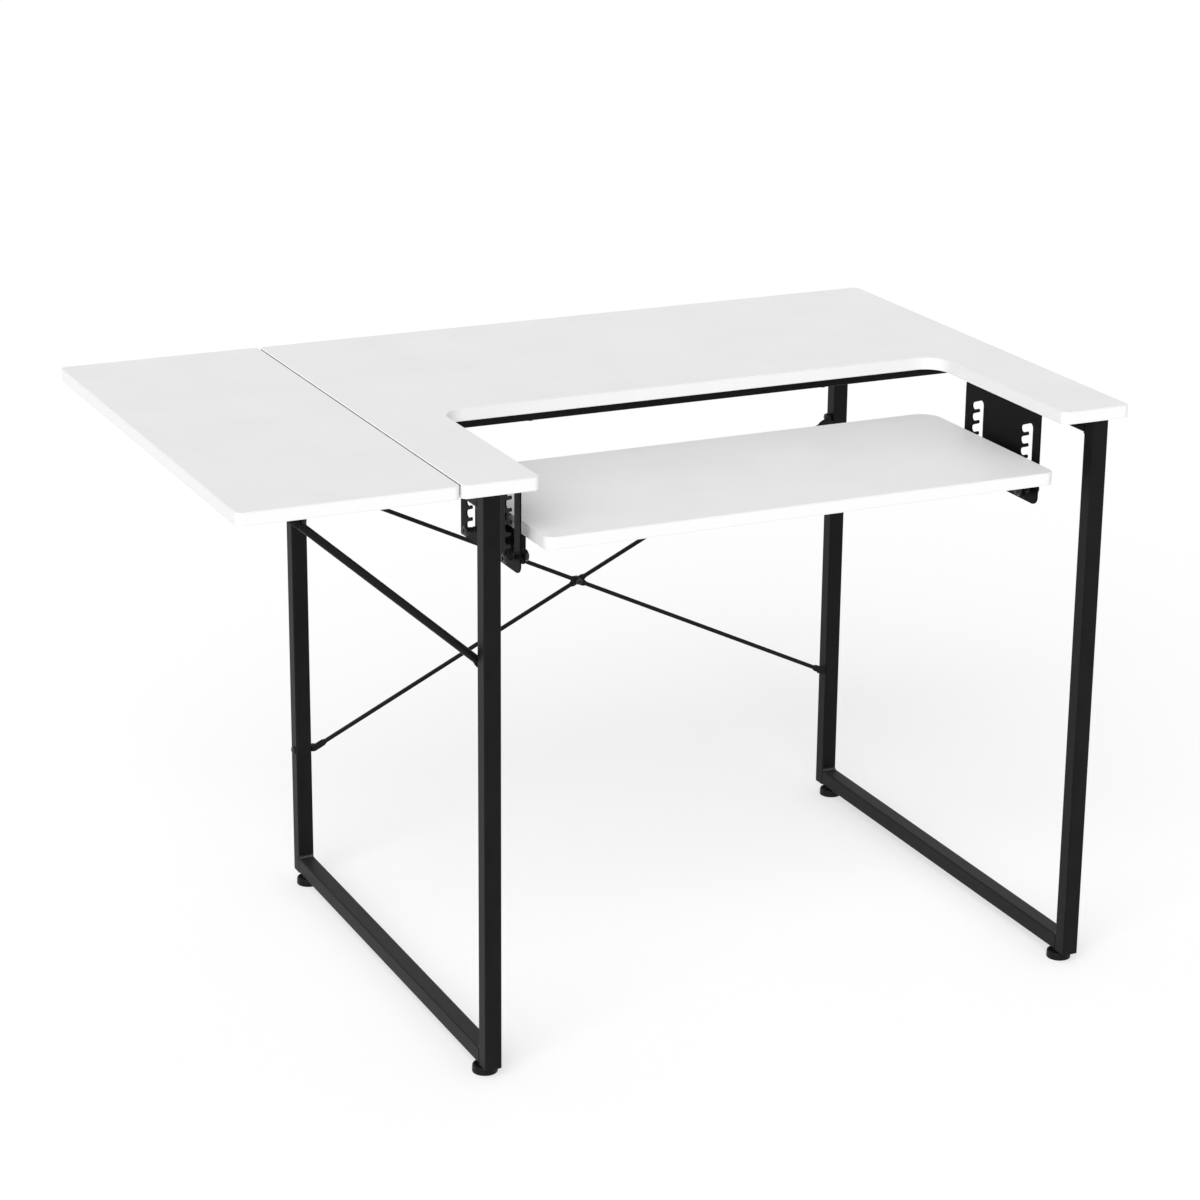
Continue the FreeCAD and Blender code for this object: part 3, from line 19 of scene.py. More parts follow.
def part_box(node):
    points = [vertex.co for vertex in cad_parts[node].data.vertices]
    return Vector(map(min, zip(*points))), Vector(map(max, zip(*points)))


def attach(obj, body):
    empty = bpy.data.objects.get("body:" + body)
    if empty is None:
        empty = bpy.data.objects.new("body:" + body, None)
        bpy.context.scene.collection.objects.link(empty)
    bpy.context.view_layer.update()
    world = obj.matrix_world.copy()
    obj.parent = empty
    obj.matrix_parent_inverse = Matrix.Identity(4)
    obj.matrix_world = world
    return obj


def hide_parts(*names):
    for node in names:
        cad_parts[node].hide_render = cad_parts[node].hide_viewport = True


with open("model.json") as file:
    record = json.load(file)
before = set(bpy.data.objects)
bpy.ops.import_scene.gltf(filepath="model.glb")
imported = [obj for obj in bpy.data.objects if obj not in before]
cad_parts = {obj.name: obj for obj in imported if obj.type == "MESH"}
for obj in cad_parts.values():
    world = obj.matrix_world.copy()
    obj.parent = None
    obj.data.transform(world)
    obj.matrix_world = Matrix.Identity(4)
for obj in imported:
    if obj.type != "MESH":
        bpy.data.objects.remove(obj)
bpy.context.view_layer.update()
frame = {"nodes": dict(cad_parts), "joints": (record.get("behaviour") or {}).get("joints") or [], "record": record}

Shape = bmesh.types.BMesh
Point = tuple[float, float, float]
Colour = tuple[float, float, float, float]
Profile = Sequence[tuple[float, float]]
Sockets = dict[str | int, object]

FULL_TURN = 2 * math.pi
WELD_DISTANCE = 1e-6
NODE_WELD_DISTANCE = WELD_DISTANCE * 10
SHARP_ANGLE = math.radians(32)
NEARLY_UPRIGHT = 0.9
# Squareness of a round section; a higher one is squarer
ROUND = 2.0
BACKWARD = Vector((0, 1, 0)).freeze()
UPWARD = Vector((0, 0, 1)).freeze()

log = logging.getLogger("sewing_table")


def grey(value: float, blue: float = 0.0) -> Colour:
    """An opaque grey as linear light, whose blue may lie above the other two."""
    return (value, value, value + blue, 1.0)


def eased(share: float) -> float:
    """A share from 0 to 1 that sets off and arrives gently."""
    return share * share * (3 - 2 * share)


def quarter_turn(steps: int) -> list[float]:
    """Angles from zero to a quarter turn, both included."""
    return [math.pi / 2 * step / steps for step in range(steps + 1)]


def blended(first: float, second: float, share: float) -> float:
    """The value a share of the way from the first to the second."""
    return first + (second - first) * share


# Shader expressions

class Signal:
    """A shader socket that takes part in sums."""

    def __init__(self, tree: "ShaderTree", socket: bpy.types.NodeSocket) -> None:
        """Wrap an output socket of a tree."""
        self.tree = tree
        self.socket = socket

    def _join(self, operation: str, *values: "Signal | float") -> "Signal":
        """The Math node of one or two values."""
        return self.tree.signal("ShaderNodeMath", "Value", dict(enumerate(values)),
                                operation=operation)

    def __add__(self, other: "Signal | float") -> "Signal":
        """self + other."""
        return self._join("ADD", self, other)

    def __radd__(self, other: float) -> "Signal":
        """other + self."""
        return self._join("ADD", other, self)

    def __sub__(self, other: "Signal | float") -> "Signal":
        """self - other."""
        return self._join("SUBTRACT", self, other)

    def __rsub__(self, other: float) -> "Signal":
        """other - self."""
        return self._join("SUBTRACT", other, self)

    def __mul__(self, other: "Signal | float") -> "Signal":
        """self * other."""
        return self._join("MULTIPLY", self, other)

    def __rmul__(self, other: float) -> "Signal":
        """other * self."""
        return self._join("MULTIPLY", other, self)

    def __abs__(self) -> "Signal":
        """The size of the value, without its sign."""
        return self._join("ABSOLUTE", self)

    def ramp(self, low: float, high: float, smooth: bool = True) -> "Signal":
        """The value spread from 0 at one level to 1 at another.

        Args:
            low: Level that gives 0.
            high: Level that gives 1; it may be the smaller one.
            smooth: Ease in and out between the two.

        Returns:
            The new value, between 0 and 1.
        """
        start, end = sorted((low, high))
        return self.tree.signal("ShaderNodeMapRange", "Result",
                                {"Value": self, "From Min": start, "From Max": end,
                                 "To Min": float(low > high), "To Max": float(low <= high)},
                                interpolation_type="SMOOTHSTEP" if smooth else "LINEAR")


class ShaderTree:
    """The node tree of one material or of the world."""

    def __init__(self, owner: bpy.types.Material | bpy.types.World) -> None:
        """Start with an empty tree.

        Args:
            owner: The material or world.
        """
        owner.use_nodes = True
        owner.node_tree.nodes.clear()
        self.owner = owner

    def node(self, kind: str, inputs: Sockets | None = None, **settings: str) -> bpy.types.Node:
        """Add one node.

        Args:
            kind: The node's type.
            inputs: Values or signals by socket name or number.
            settings: Properties, which are set first.

        Returns:
            The node.
        """
        tree = self.owner.node_tree
        made = tree.nodes.new(kind)
        for name, value in settings.items():
            setattr(made, name, value)
        for key, value in (inputs or {}).items():
            if isinstance(key, int):
                socket = made.inputs[key]
            else:
                socket = next(one for one in made.inputs if one.name == key and one.enabled)
            if isinstance(value, Signal):
                tree.links.new(value.socket, socket)
            else:
                socket.default_value = value
        return made

    def signal(self, kind: str, output: str, inputs: Sockets | None = None, **settings: str) -> Signal:
        """Add one node, as node does, and take the output of that name."""
        made = self.node(kind, inputs, **settings)
        return Signal(self, next(one for one in made.outputs if one.name == output and one.enabled))

    def coords(self) -> Signal:
        """The piece's own coordinates, in metres."""
        return self.signal("ShaderNodeTexCoord", "Object")

    def along(self, axis: str) -> Signal:
        """The piece's own X, Y or Z coordinate, in metres."""
        return self.signal("ShaderNodeSeparateXYZ", axis, {"Vector": self.coords()})

    def facing_up(self) -> Signal:
        """The upward share of the surface's own normal, from -1 to 1."""
        normal = self.signal("ShaderNodeTexCoord", "Normal")
        return self.signal("ShaderNodeSeparateXYZ", "Z", {"Vector": normal})

    def seen_directly(self) -> Signal:
        """Whether the camera sees a surface itself, or through gloss or glass.

        Returns:
            1 or 0.
        """
        kinds = ("Camera", "Glossy", "Transmission")
        rays = [self.signal("ShaderNodeLightPath", f"Is {kind} Ray") for kind in kinds]
        return (rays[0] + rays[1] + rays[2]).ramp(0.0, 1.0, smooth=False)

    def noise(self, scale: float, detail: float = 2.0) -> Signal:
        """Soft noise about 0.5, of so many waves a metre and so many octaves."""
        return self.signal("ShaderNodeTexNoise", "Fac",
                           {"Vector": self.coords(), "Scale": scale, "Detail": detail})

    def cells(self, scale: float) -> Signal:
        """A random level from 0 to 1 for each cell, of so many cells a metre."""
        colour = self.signal("ShaderNodeTexVoronoi", "Color", {"Vector": self.coords(), "Scale": scale})
        return self.signal("ShaderNodeSeparateColor", "Red", {"Color": colour})

    def mix(self, factor: Signal, first: Colour | Signal, second: Colour | Signal) -> Signal:
        """A colour between two others: the first where the factor is 0, the second where it is 1."""
        return self.signal("ShaderNodeMix", "Result",
                           {"Factor": factor, "A": first, "B": second}, data_type="RGBA")

    def bump(self, height: Signal, depth: float, strength: float) -> Signal:
        """The normal of a relief that is so many metres deep and shows so strongly."""
        return self.signal("ShaderNodeBump", "Normal",
                           {"Height": height, "Distance": depth, "Strength": strength})


def weighted(levels: Sequence[Signal], shares: Sequence[float], base: float = 0.0) -> Signal:
    """Levels added up by their shares.

    Args:
        levels: The levels.
        shares: What each one counts for; one without a share is left out.
        base: What the sum starts from.

    Returns:
        The sum.
    """
    total: Signal | float = base
    for level, share in zip(levels, shares):
        if share:
            total = total + level * share
    return total


# Finishes

@dataclass(frozen=True)
class Pattern:
    """One pattern of a finish, with its shares in the tone, the roughness and the relief."""

    scale: float
    detail: float = 2.0
    tone: float = 0.0
    roughness: float = 0.0
    relief: float = 0.0
    spangled: bool = False

    def draw(self, tree: ShaderTree) -> Signal:
        """The pattern's level, from 0 to 1."""
        return tree.cells(self.scale) if self.spangled else tree.noise(self.scale, self.detail)


@dataclass(frozen=True, kw_only=True)
class Finish:
    """A material whose tone, roughness and relief are sums of its patterns."""

    name: str
    dark: Colour
    light: Colour
    patterns: tuple[Pattern, ...]
    tone_range: tuple[float, float] = (0.35, 0.65)
    tone_eased: bool = True
    roughness: float
    depth: float
    relief: float
    gloss: float = 0.5
    metallic: float = 0.0

    def _touched(self, tree: ShaderTree, levels: Sequence[Signal], colour: Signal,
                 roughness: Signal) -> tuple[Signal, Signal]:
        """The colour and roughness with what a kind of finish adds to them."""
        return colour, roughness

    def build(self) -> bpy.types.Material:
        """Make the material.

        Returns:
            The material.
        """
        tree = ShaderTree(bpy.data.materials.new(self.name))
        levels = [pattern.draw(tree) for pattern in self.patterns]
        tone = weighted(levels, [pattern.tone for pattern in self.patterns])
        colour = tree.mix(tone.ramp(*self.tone_range, smooth=self.tone_eased), self.dark, self.light)
        roughness = weighted(levels, [pattern.roughness for pattern in self.patterns], self.roughness)
        colour, roughness = self._touched(tree, levels, colour, roughness)
        height = weighted(levels, [pattern.relief for pattern in self.patterns])
        shader = tree.signal("ShaderNodeBsdfPrincipled", "BSDF", {
            "Base Color": colour, "Roughness": roughness, "Metallic": self.metallic,
            "Specular IOR Level": self.gloss, "Normal": tree.bump(height, self.depth, self.relief)})
        tree.node("ShaderNodeOutputMaterial", {"Surface": shader})
        return tree.owner


@dataclass(frozen=True, kw_only=True)
class Laminate(Finish):
    """White melamine-faced board: a faint pearl grain, and an edge band glued round its sides."""

    dark: Colour = grey(0.77)
    light: Colour = grey(0.80)
    patterns: tuple[Pattern, ...] = (Pattern(9.0, 3.0, tone=0.5, roughness=0.08),
                                     Pattern(520.0, 3.0, tone=0.35, roughness=0.1, relief=0.8),
                                     Pattern(1820.0, 1.0, tone=0.15, relief=0.2))
    tone_range: tuple[float, float] = (0.38, 0.62)
    roughness: float = 0.33
    depth: float = 0.00004
    relief: float = 0.55
    gloss: float = 0.35
    low: float
    high: float
    side_range: tuple[float, float] = (0.5, 0.25)
    band: Colour = grey(0.83)
    band_polish: float = 0.04
    glue: Colour = grey(0.55)
    glue_level: float = 0.45
    glue_mottle: float = 0.4
    glue_width: float = 0.0003
    edge_inset: float = 0.0009
    seam: float = 0.0
    # Painted shade: the colour of a dark line on the seam's walls, standing in for the shade inside the gap.
    painted_seam_shadow: Colour = grey(0.16)
    seam_width: float = 0.0013
    seam_depth: float = 0.0024
    seam_fade: float = 0.8
    arris: float = 0.0008
    arris_fade: float = 0.6
    # Painted highlight: the pale colour of a strip beside the seam, standing in for light on the worktop's rounded
    # arris.
    lip: Colour = grey(0.95)
    painted_highlight_range: tuple[float, float] = (0.00065, 0.00091)
    painted_highlight_width: float = 0.0021

    def _painted_seam_shade_and_highlight(self, tree: ShaderTree, height: Signal, colour: Signal) -> Signal:
        """Paint a dark line of shade on the seam's walls just below the arris, and a pale strip of highlight on
        the worktop beside the seam.

        Args:
            tree: The material's tree.
            height: Height on the board.
            colour: The board's colour so far.

        Returns:
            The colour with the painted shade and highlight of the seam.
        """
        offset = tree.along("X") - self.seam
        below = self.high - height
        # Painted shade: a dark line on the gap's walls from just below the arris down to the seam depth, standing
        # in for the shade inside the seam.
        wall = abs(offset).ramp(self.seam_width, self.seam_width * self.seam_fade)
        line = below.ramp(self.arris * self.arris_fade, self.arris)
        line = wall * line * below.ramp(self.seam_depth, self.seam_depth * self.seam_fade)
        # Painted highlight: a pale strip on the worktop just beside the seam, standing in for light on its rounded
        # arris.
        lip = offset.ramp(*self.painted_highlight_range, smooth=False)
        lip = lip * offset.ramp(self.painted_highlight_range[1] + self.painted_highlight_width, self.painted_highlight_width)
        with_painted_highlight = tree.mix(lip * below.ramp(self.seam_depth, 0.0), colour, self.lip)
        return tree.mix(line, with_painted_highlight, self.painted_seam_shadow)

    def _touched(self, tree: ShaderTree, levels: Sequence[Signal], colour: Signal,
                 roughness: Signal) -> tuple[Signal, Signal]:
        """Put the band on the sides, its glue lines along them, and the painted shade and highlight of the seam
        where there is one.

        Args:
            tree: The material's tree.
            levels: Levels of the patterns.
            colour: Colour of the faces.
            roughness: Their roughness.

        Returns:
            The colour and roughness of the whole board.
        """
        side = abs(tree.facing_up()).ramp(*self.side_range)
        height = tree.along("Z")
        upper = abs(height - (self.high - self.edge_inset)).ramp(self.glue_width, 0.0)
        lower = abs(height - (self.low + self.edge_inset)).ramp(self.glue_width, 0.0)
        line = (upper + lower) * side * (self.glue_level + levels[1] * self.glue_mottle)
        colour = tree.mix(line, tree.mix(side, colour, self.band), self.glue)
        if self.seam:
            # Painted shade and painted highlight along the seam.
            colour = self._painted_seam_shade_and_highlight(tree, height, colour)
        return colour, roughness - side * self.band_polish


@dataclass(frozen=True, kw_only=True)
class PowderCoat(Finish):
    """Satin black powder coat with fine orange peel and a little dust on what faces up."""

    dark: Colour = grey(0.0045)
    light: Colour = grey(0.0072, 0.0003)
    patterns: tuple[Pattern, ...] = (Pattern(24.0, 4.0, tone=0.6, roughness=0.1),
                                     Pattern(750.0, tone=0.4, relief=0.7),
                                     Pattern(2400.0, roughness=0.12, relief=0.3))
    roughness: float = 0.36
    depth: float = 0.00006
    relief: float = 0.6
    gloss: float = 0.10
    dust: Colour = grey(0.020)
    dust_range: tuple[float, float] = (0.55, 0.95)
    dust_share: float = 0.5
    dust_dullness: float = 0.08

    def _touched(self, tree: ShaderTree, levels: Sequence[Signal], colour: Signal,
                 roughness: Signal) -> tuple[Signal, Signal]:
        """The colour and roughness with the dust that settles on what faces up."""
        settled = tree.facing_up().ramp(*self.dust_range) * (self.dust_share + levels[0] * self.dust_share)
        return tree.mix(settled, colour, self.dust), roughness + settled * self.dust_dullness


FRAME_COAT = PowderCoat(name="black_powder_coat")
PLASTIC = Finish(name="black_plastic", dark=grey(0.0035), light=grey(0.0055),
                 patterns=(Pattern(60.0, 3.0, tone=0.5, roughness=0.08),
                           Pattern(1700.0, 3.0, tone=0.5, roughness=0.1, relief=1.0)),
                 roughness=0.34, depth=0.00004, relief=0.7, gloss=0.14)
RUBBER = replace(PLASTIC, name="black_rubber", dark=grey(0.006), light=grey(0.009),
                 patterns=(PLASTIC.patterns[0], replace(PLASTIC.patterns[1], scale=1100.0)),
                 roughness=0.62, depth=0.00006)
BLACK_OXIDE = Finish(name="black_fastener", dark=grey(0.018, 0.001), light=grey(0.07, 0.002),
                     patterns=(Pattern(420.0, 4.0, tone=0.7, roughness=0.14),
                               Pattern(2600.0, tone=0.3, roughness=0.08, relief=1.0)),
                     tone_range=(0.56, 0.72), roughness=0.3, depth=0.00002, relief=0.5, metallic=0.35)
ZINC = Finish(name="zinc_steel", dark=(0.47, 0.48, 0.50, 1.0), light=(0.62, 0.63, 0.64, 1.0),
              patterns=(Pattern(900.0, tone=0.6, roughness=0.1, spangled=True),
                        Pattern(3000.0, 3.0, tone=0.4, roughness=0.16, relief=1.0)),
              tone_range=(0.0, 1.0), tone_eased=False, roughness=0.24, depth=0.00002, relief=0.4,
              metallic=1.0)


class Slot(Enum):
    """Material slots of the record that pieces take their finish from."""

    POWDER_COAT = "black_powder_coat"
    FASTENER = "black_fastener"
    ZINC = "zinc_steel"
    PLASTIC = "black_plastic"
    RUBBER = "black_rubber"


MATERIALS = {Slot.POWDER_COAT: FRAME_COAT.build(), Slot.FASTENER: BLACK_OXIDE.build(),
             Slot.ZINC: ZINC.build(), Slot.PLASTIC: PLASTIC.build(), Slot.RUBBER: RUBBER.build()}
ROD_COAT = replace(FRAME_COAT, name="black_rod_coat", dark=grey(0.0040), light=grey(0.0065),
                   gloss=0.13).build()
BEAD_COAT = replace(FRAME_COAT, name="black_bead_coat", roughness=0.2, gloss=0.4).build()
# Painted shade: a darker copy of the frame coat for the comb plates and brackets, which sit in shade under the
# boards; its lower gloss is a duller coat.
SHADED_PLATE_COAT = replace(FRAME_COAT, name="black_plate_coat_painted_shade", dark=grey(0.0028), light=grey(0.0046),
                     dust=grey(0.012), gloss=0.045).build()
BODY_OF_NODE = {node: body for body, nodes in frame["record"]["behaviour"]["bodies"].items()
                for node in nodes}


def dress(node: str, material: bpy.types.Material) -> None:
    """Give a carried-over node its material.

    Args:
        node: The node's name.
        material: The new material.
    """
    slots = frame["nodes"][node].data.materials
    slots.clear()
    slots.append(material)
    log.info("dressed %s in %s", node, material.name)


# Mesh tools

class Cut(Enum):
    """What is left of a shape that meets another."""

    AWAY = "DIFFERENCE"
    SHARED = "INTERSECT"


def linked(name: str, data: bpy.types.ID) -> bpy.types.Object:
    """Put a mesh, light or camera in the scene.

    Args:
        name: The object's name.
        data: What it shows.

    Returns:
        The object.
    """
    thing = bpy.data.objects.new(name, data)
    bpy.context.scene.collection.objects.link(thing)
    return thing


def meshed(name: str, shape: Shape) -> bpy.types.Mesh:
    """Turn a shape into a mesh.

    Args:
        name: The mesh's name.
        shape: The shape; it stays as it is.

    Returns:
        The mesh.
    """
    mesh = bpy.data.meshes.new(name)
    shape.to_mesh(mesh)
    return mesh


def add_piece(name: str, shape: Shape, slot: Slot, nodes: Sequence[str],
              shown_too: bool = False, look: bpy.types.Material | None = None) -> None:
    """Turn a finished shape into a piece that rides on the body of its nodes.

    Args:
        name: The piece's name.
        shape: The shape, in place.
        slot: The finish.
        nodes: The nodes that it stands for, or that carry it.
        shown_too: The nodes stay, and the piece only rides with them.
        look: A material of its own in place of the slot's.
    """
    bmesh.ops.recalc_face_normals(shape, faces=shape.faces)
    mesh = meshed(name, shape)
    mesh.shade_smooth()
    mesh.set_sharp_from_angle(angle=SHARP_ANGLE)
    mesh.materials.append(look or MATERIALS[slot])
    piece = linked(name, mesh)
    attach(piece, BODY_OF_NODE[nodes[0]])
    if not shown_too:
        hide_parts(*nodes)
    log.info("built %s: %d faces", name, len(mesh.polygons))


def spun(profile: Profile, steps: int) -> Shape:
    """A solid of revolution about Z.

    Args:
        profile: Radius and height pairs, from one end of the axis to the other.
        steps: Faces round the axis.

    Returns:
        The closed shape.
    """
    shape = bmesh.new()
    verts = [shape.verts.new((radius, 0.0, height)) for radius, height in profile]
    edges = [shape.edges.new(pair) for pair in zip(verts, verts[1:])]
    bmesh.ops.spin(shape, geom=verts + edges, axis=(0, 0, 1), cent=(0, 0, 0), angle=FULL_TURN,
                   steps=steps, use_merge=True)
    bmesh.ops.remove_doubles(shape, verts=shape.verts, dist=WELD_DISTANCE)
    bmesh.ops.recalc_face_normals(shape, faces=shape.faces)
    return shape


def arc(centre: tuple[float, float], radius: float, start: float, end: float, steps: int) -> Profile:
    """Points of an arc, both ends included.

    Args:
        centre: Middle of the arc.
        radius: Its radius.
        start: First angle in degrees, from the radial direction towards up.
        end: Last angle in degrees.
        steps: Straight pieces.

    Returns:
        The points.
    """
    angles = [math.radians(start + (end - start) * step / steps) for step in range(steps + 1)]
    return [(centre[0] + radius * math.cos(angle), centre[1] + radius * math.sin(angle))
            for angle in angles]


def prism(radius: float, height: float, sides: int, placement: Matrix) -> Shape:
    """A many-sided bar along local Z, with its middle at local zero.

    Args:
        radius: From the axis to a corner.
        height: From end to end.
        sides: Faces round the axis.
        placement: Where it goes.

    Returns:
        The closed shape.
    """
    shape = bmesh.new()
    bmesh.ops.create_cone(shape, cap_ends=True, segments=sides, radius1=radius, radius2=radius,
                          depth=height, matrix=placement)
    return shape


def combined(base: Shape, tool: Shape, cut: Cut) -> Shape:
    """One shape cut by another.

    Args:
        base: The shape that is kept.
        tool: The shape that cuts.
        cut: What is left of the first.

    Returns:
        The result.
    """
    things = [linked("cutting", meshed("cutting", shape)) for shape in (base, tool)]
    boolean = things[0].modifiers.new("cut", "BOOLEAN")
    boolean.operation = cut.value
    boolean.object = things[1]
    boolean.solver = "EXACT"
    graph = bpy.context.evaluated_depsgraph_get()
    result = bmesh.new()
    result.from_object(things[0], graph)
    for thing in things:
        mesh = thing.data
        bpy.data.objects.remove(thing)
        bpy.data.meshes.remove(mesh)
    bmesh.ops.dissolve_degenerate(result, edges=result.edges, dist=WELD_DISTANCE)
    return result


def gathered(parts: Sequence[tuple[Shape, Matrix]]) -> Shape:
    """Placed copies of shapes, as one shape.

    Args:
        parts: Each shape, which stays as it is, and where its copy goes.

    Returns:
        The copies.
    """
    target = bmesh.new()
    for shape, placement in parts:
        mesh = meshed("copying", shape)
        mesh.transform(placement)
        target.from_mesh(mesh)
        bpy.data.meshes.remove(mesh)
    return target


def frame_along(direction: Vector, origin: Vector, side: Vector | None = None) -> Matrix:
    """A placement whose local Z runs along a direction.

    Args:
        direction: Where local Z points.
        origin: Where local zero lies.
        side: Where local X points, as nearly as it can.

    Returns:
        The placement.
    """
    upward = direction.normalized()
    hint = side or (UPWARD if abs(upward.z) < NEARLY_UPRIGHT else Vector((1, 0, 0)))
    across = (hint - upward * hint.dot(upward)).normalized()
    turned = upward.cross(across)
    return Matrix.Translation(origin) @ Matrix((across, turned, upward)).transposed().to_4x4()


@dataclass(frozen=True)
class Station:
    """One section of a swept bar."""

    place: Vector
    wide: Vector
    thin: Vector
    half_wide: float
    half_thin: float
    squareness: float = ROUND

    def point(self, angle: float) -> Vector:
        """A point of the section's outline.

        Args:
            angle: Angle round the section.

        Returns:
            The point, in place.
        """
        power = ROUND / self.squareness
        run, rise = math.cos(angle), math.sin(angle)
        across = math.copysign(abs(run) ** power, run) * self.half_wide
        through = math.copysign(abs(rise) ** power, rise) * self.half_thin
        return self.place + self.wide * across + self.thin * through


def swept(stations: Sequence[Station], segments: int) -> Shape:
    """A closed bar through a row of sections.

    Args:
        stations: The sections, from one end to the other.
        segments: Faces round the bar.

    Returns:
        The shape.
    """
    shape = bmesh.new()
    circle = bmesh.ops.create_circle(shape, cap_ends=False, segments=segments, radius=1.0)
    ring = list(circle["verts"])
    angles = [FULL_TURN * index / segments for index in range(segments)]
    for vertex, angle in zip(ring, angles):
        vertex.co = stations[0].point(angle)
    for station in stations[1:]:
        edges = [edge for edge in shape.edges if all(end in ring for end in edge.verts)]
        grown = bmesh.ops.extrude_edge_only(shape, edges=edges)
        fresh = {item for item in grown["geom"] if isinstance(item, bmesh.types.BMVert)}
        ring = [next(edge.other_vert(vertex) for edge in vertex.link_edges
                     if edge.other_vert(vertex) in fresh) for vertex in ring]
        for vertex, angle in zip(ring, angles):
            vertex.co = station.point(angle)
    bmesh.ops.holes_fill(shape, edges=[edge for edge in shape.edges if edge.is_boundary], sides=0)
    bmesh.ops.recalc_face_normals(shape, faces=shape.faces)
    return shape


def aligned(stations: Sequence[Station]) -> list[Station]:
    """Sections turned so that each one's axes agree with the one before.

    Args:
        stations: The sections in order.

    Returns:
        The same sections, some with their axes reversed.
    """
    result = [stations[0]]
    for one in stations[1:]:
        before = result[-1]
        wide = one.wide if one.wide.dot(before.wide) >= 0 else -one.wide
        thin = one.thin if one.thin.dot(before.thin) >= 0 else -one.thin
        result.append(replace(one, wide=wide, thin=thin))
    return result


# What a node holds

def solids_of(node: str) -> list[list[Vector]]:
    """Corner points of each separate solid of a node.

    Args:
        node: The node's name.

    Returns:
        One list of points for each solid, all in the same order in every run.
    """
    shape = bmesh.new()
    shape.from_mesh(frame["nodes"][node].data)
    bmesh.ops.remove_doubles(shape, verts=shape.verts, dist=NODE_WELD_DISTANCE)
    waiting = set(shape.verts)
    solids = []
    while waiting:
        reached = [waiting.pop()]
        points = []
        while reached:
            vertex = reached.pop()
            points.append(vertex.co.copy())
            near = {edge.other_vert(vertex) for edge in vertex.link_edges} & waiting
            waiting -= near
            reached.extend(near)
        solids.append(sorted(points, key=tuple))
    shape.free()
    return sorted(solids, key=lambda points: tuple(sum(points, Vector()) / len(points)))


@dataclass(frozen=True)
class Turned:
    """A turned or hexagonal solid that lies along X, Y or Z, as its node has it."""

    start: Vector
    direction: Vector
    length: float
    outer_radius: float
    inner_radius: float
    head_height: float
    shank_radius: float
    corner: Vector

    @property
    def from_start(self) -> Matrix:
        """Local Z along the axis, with zero at its start."""
        return frame_along(self.direction, self.start, self.corner)

    @property
    def from_seat(self) -> Matrix:
        """Local Z along the axis, with zero where the head meets what it holds."""
        return frame_along(self.direction, self.start + self.direction * self.head_height, self.corner)


# How measure tells an end, a head and the head's rim
END_SHARE = 0.02
HEAD_EXCESS = 1.01
RIM_SHARE = 0.98


def measure(points: Sequence[Vector], flat: bool) -> Turned:
    """Read a solid's axis and sizes from its corner points.

    Args:
        points: The corner points.
        flat: The axis is the shortest way through it, and otherwise the longest.

    Returns:
        What was found.
    """
    low = Vector([min(point[axis] for point in points) for axis in range(3)])
    high = Vector([max(point[axis] for point in points) for axis in range(3)])
    size = high - low
    axis = (min if flat else max)(range(3), key=lambda one: size[one])
    middle = (low + high) / 2
    direction = Vector((0, 0, 0))
    direction[axis] = 1.0
    along = [(point - middle).dot(direction) for point in points]
    offsets = [(point - middle) - direction * step for point, step in zip(points, along)]
    radii = [offset.length for offset in offsets]
    half = size[axis] / 2
    edge = size[axis] * END_SHARE
    first = max(radius for radius, step in zip(radii, along) if step < edge - half)
    last = max(radius for radius, step in zip(radii, along) if step > half - edge)
    if last > first * HEAD_EXCESS:
        direction = -direction
        along = [-step for step in along]
    widest = max(radii)
    seat = max(step for radius, step in zip(radii, along) if radius > widest * RIM_SHARE)
    return Turned(middle - direction * half, direction, size[axis], widest, min(radii), seat + half,
                  min(first, last), offsets[radii.index(widest)].normalized())


# Fasteners

HEXAGON = 6
HEAD_TURN_DEGREES = 37.0


class Kind(Enum):
    """Kinds of fastener."""

    PAN = "screw with a domed head and a cross recess"
    SOCKET = "bolt or pin with a hexagon recess"
    NUT = "hexagon nut"


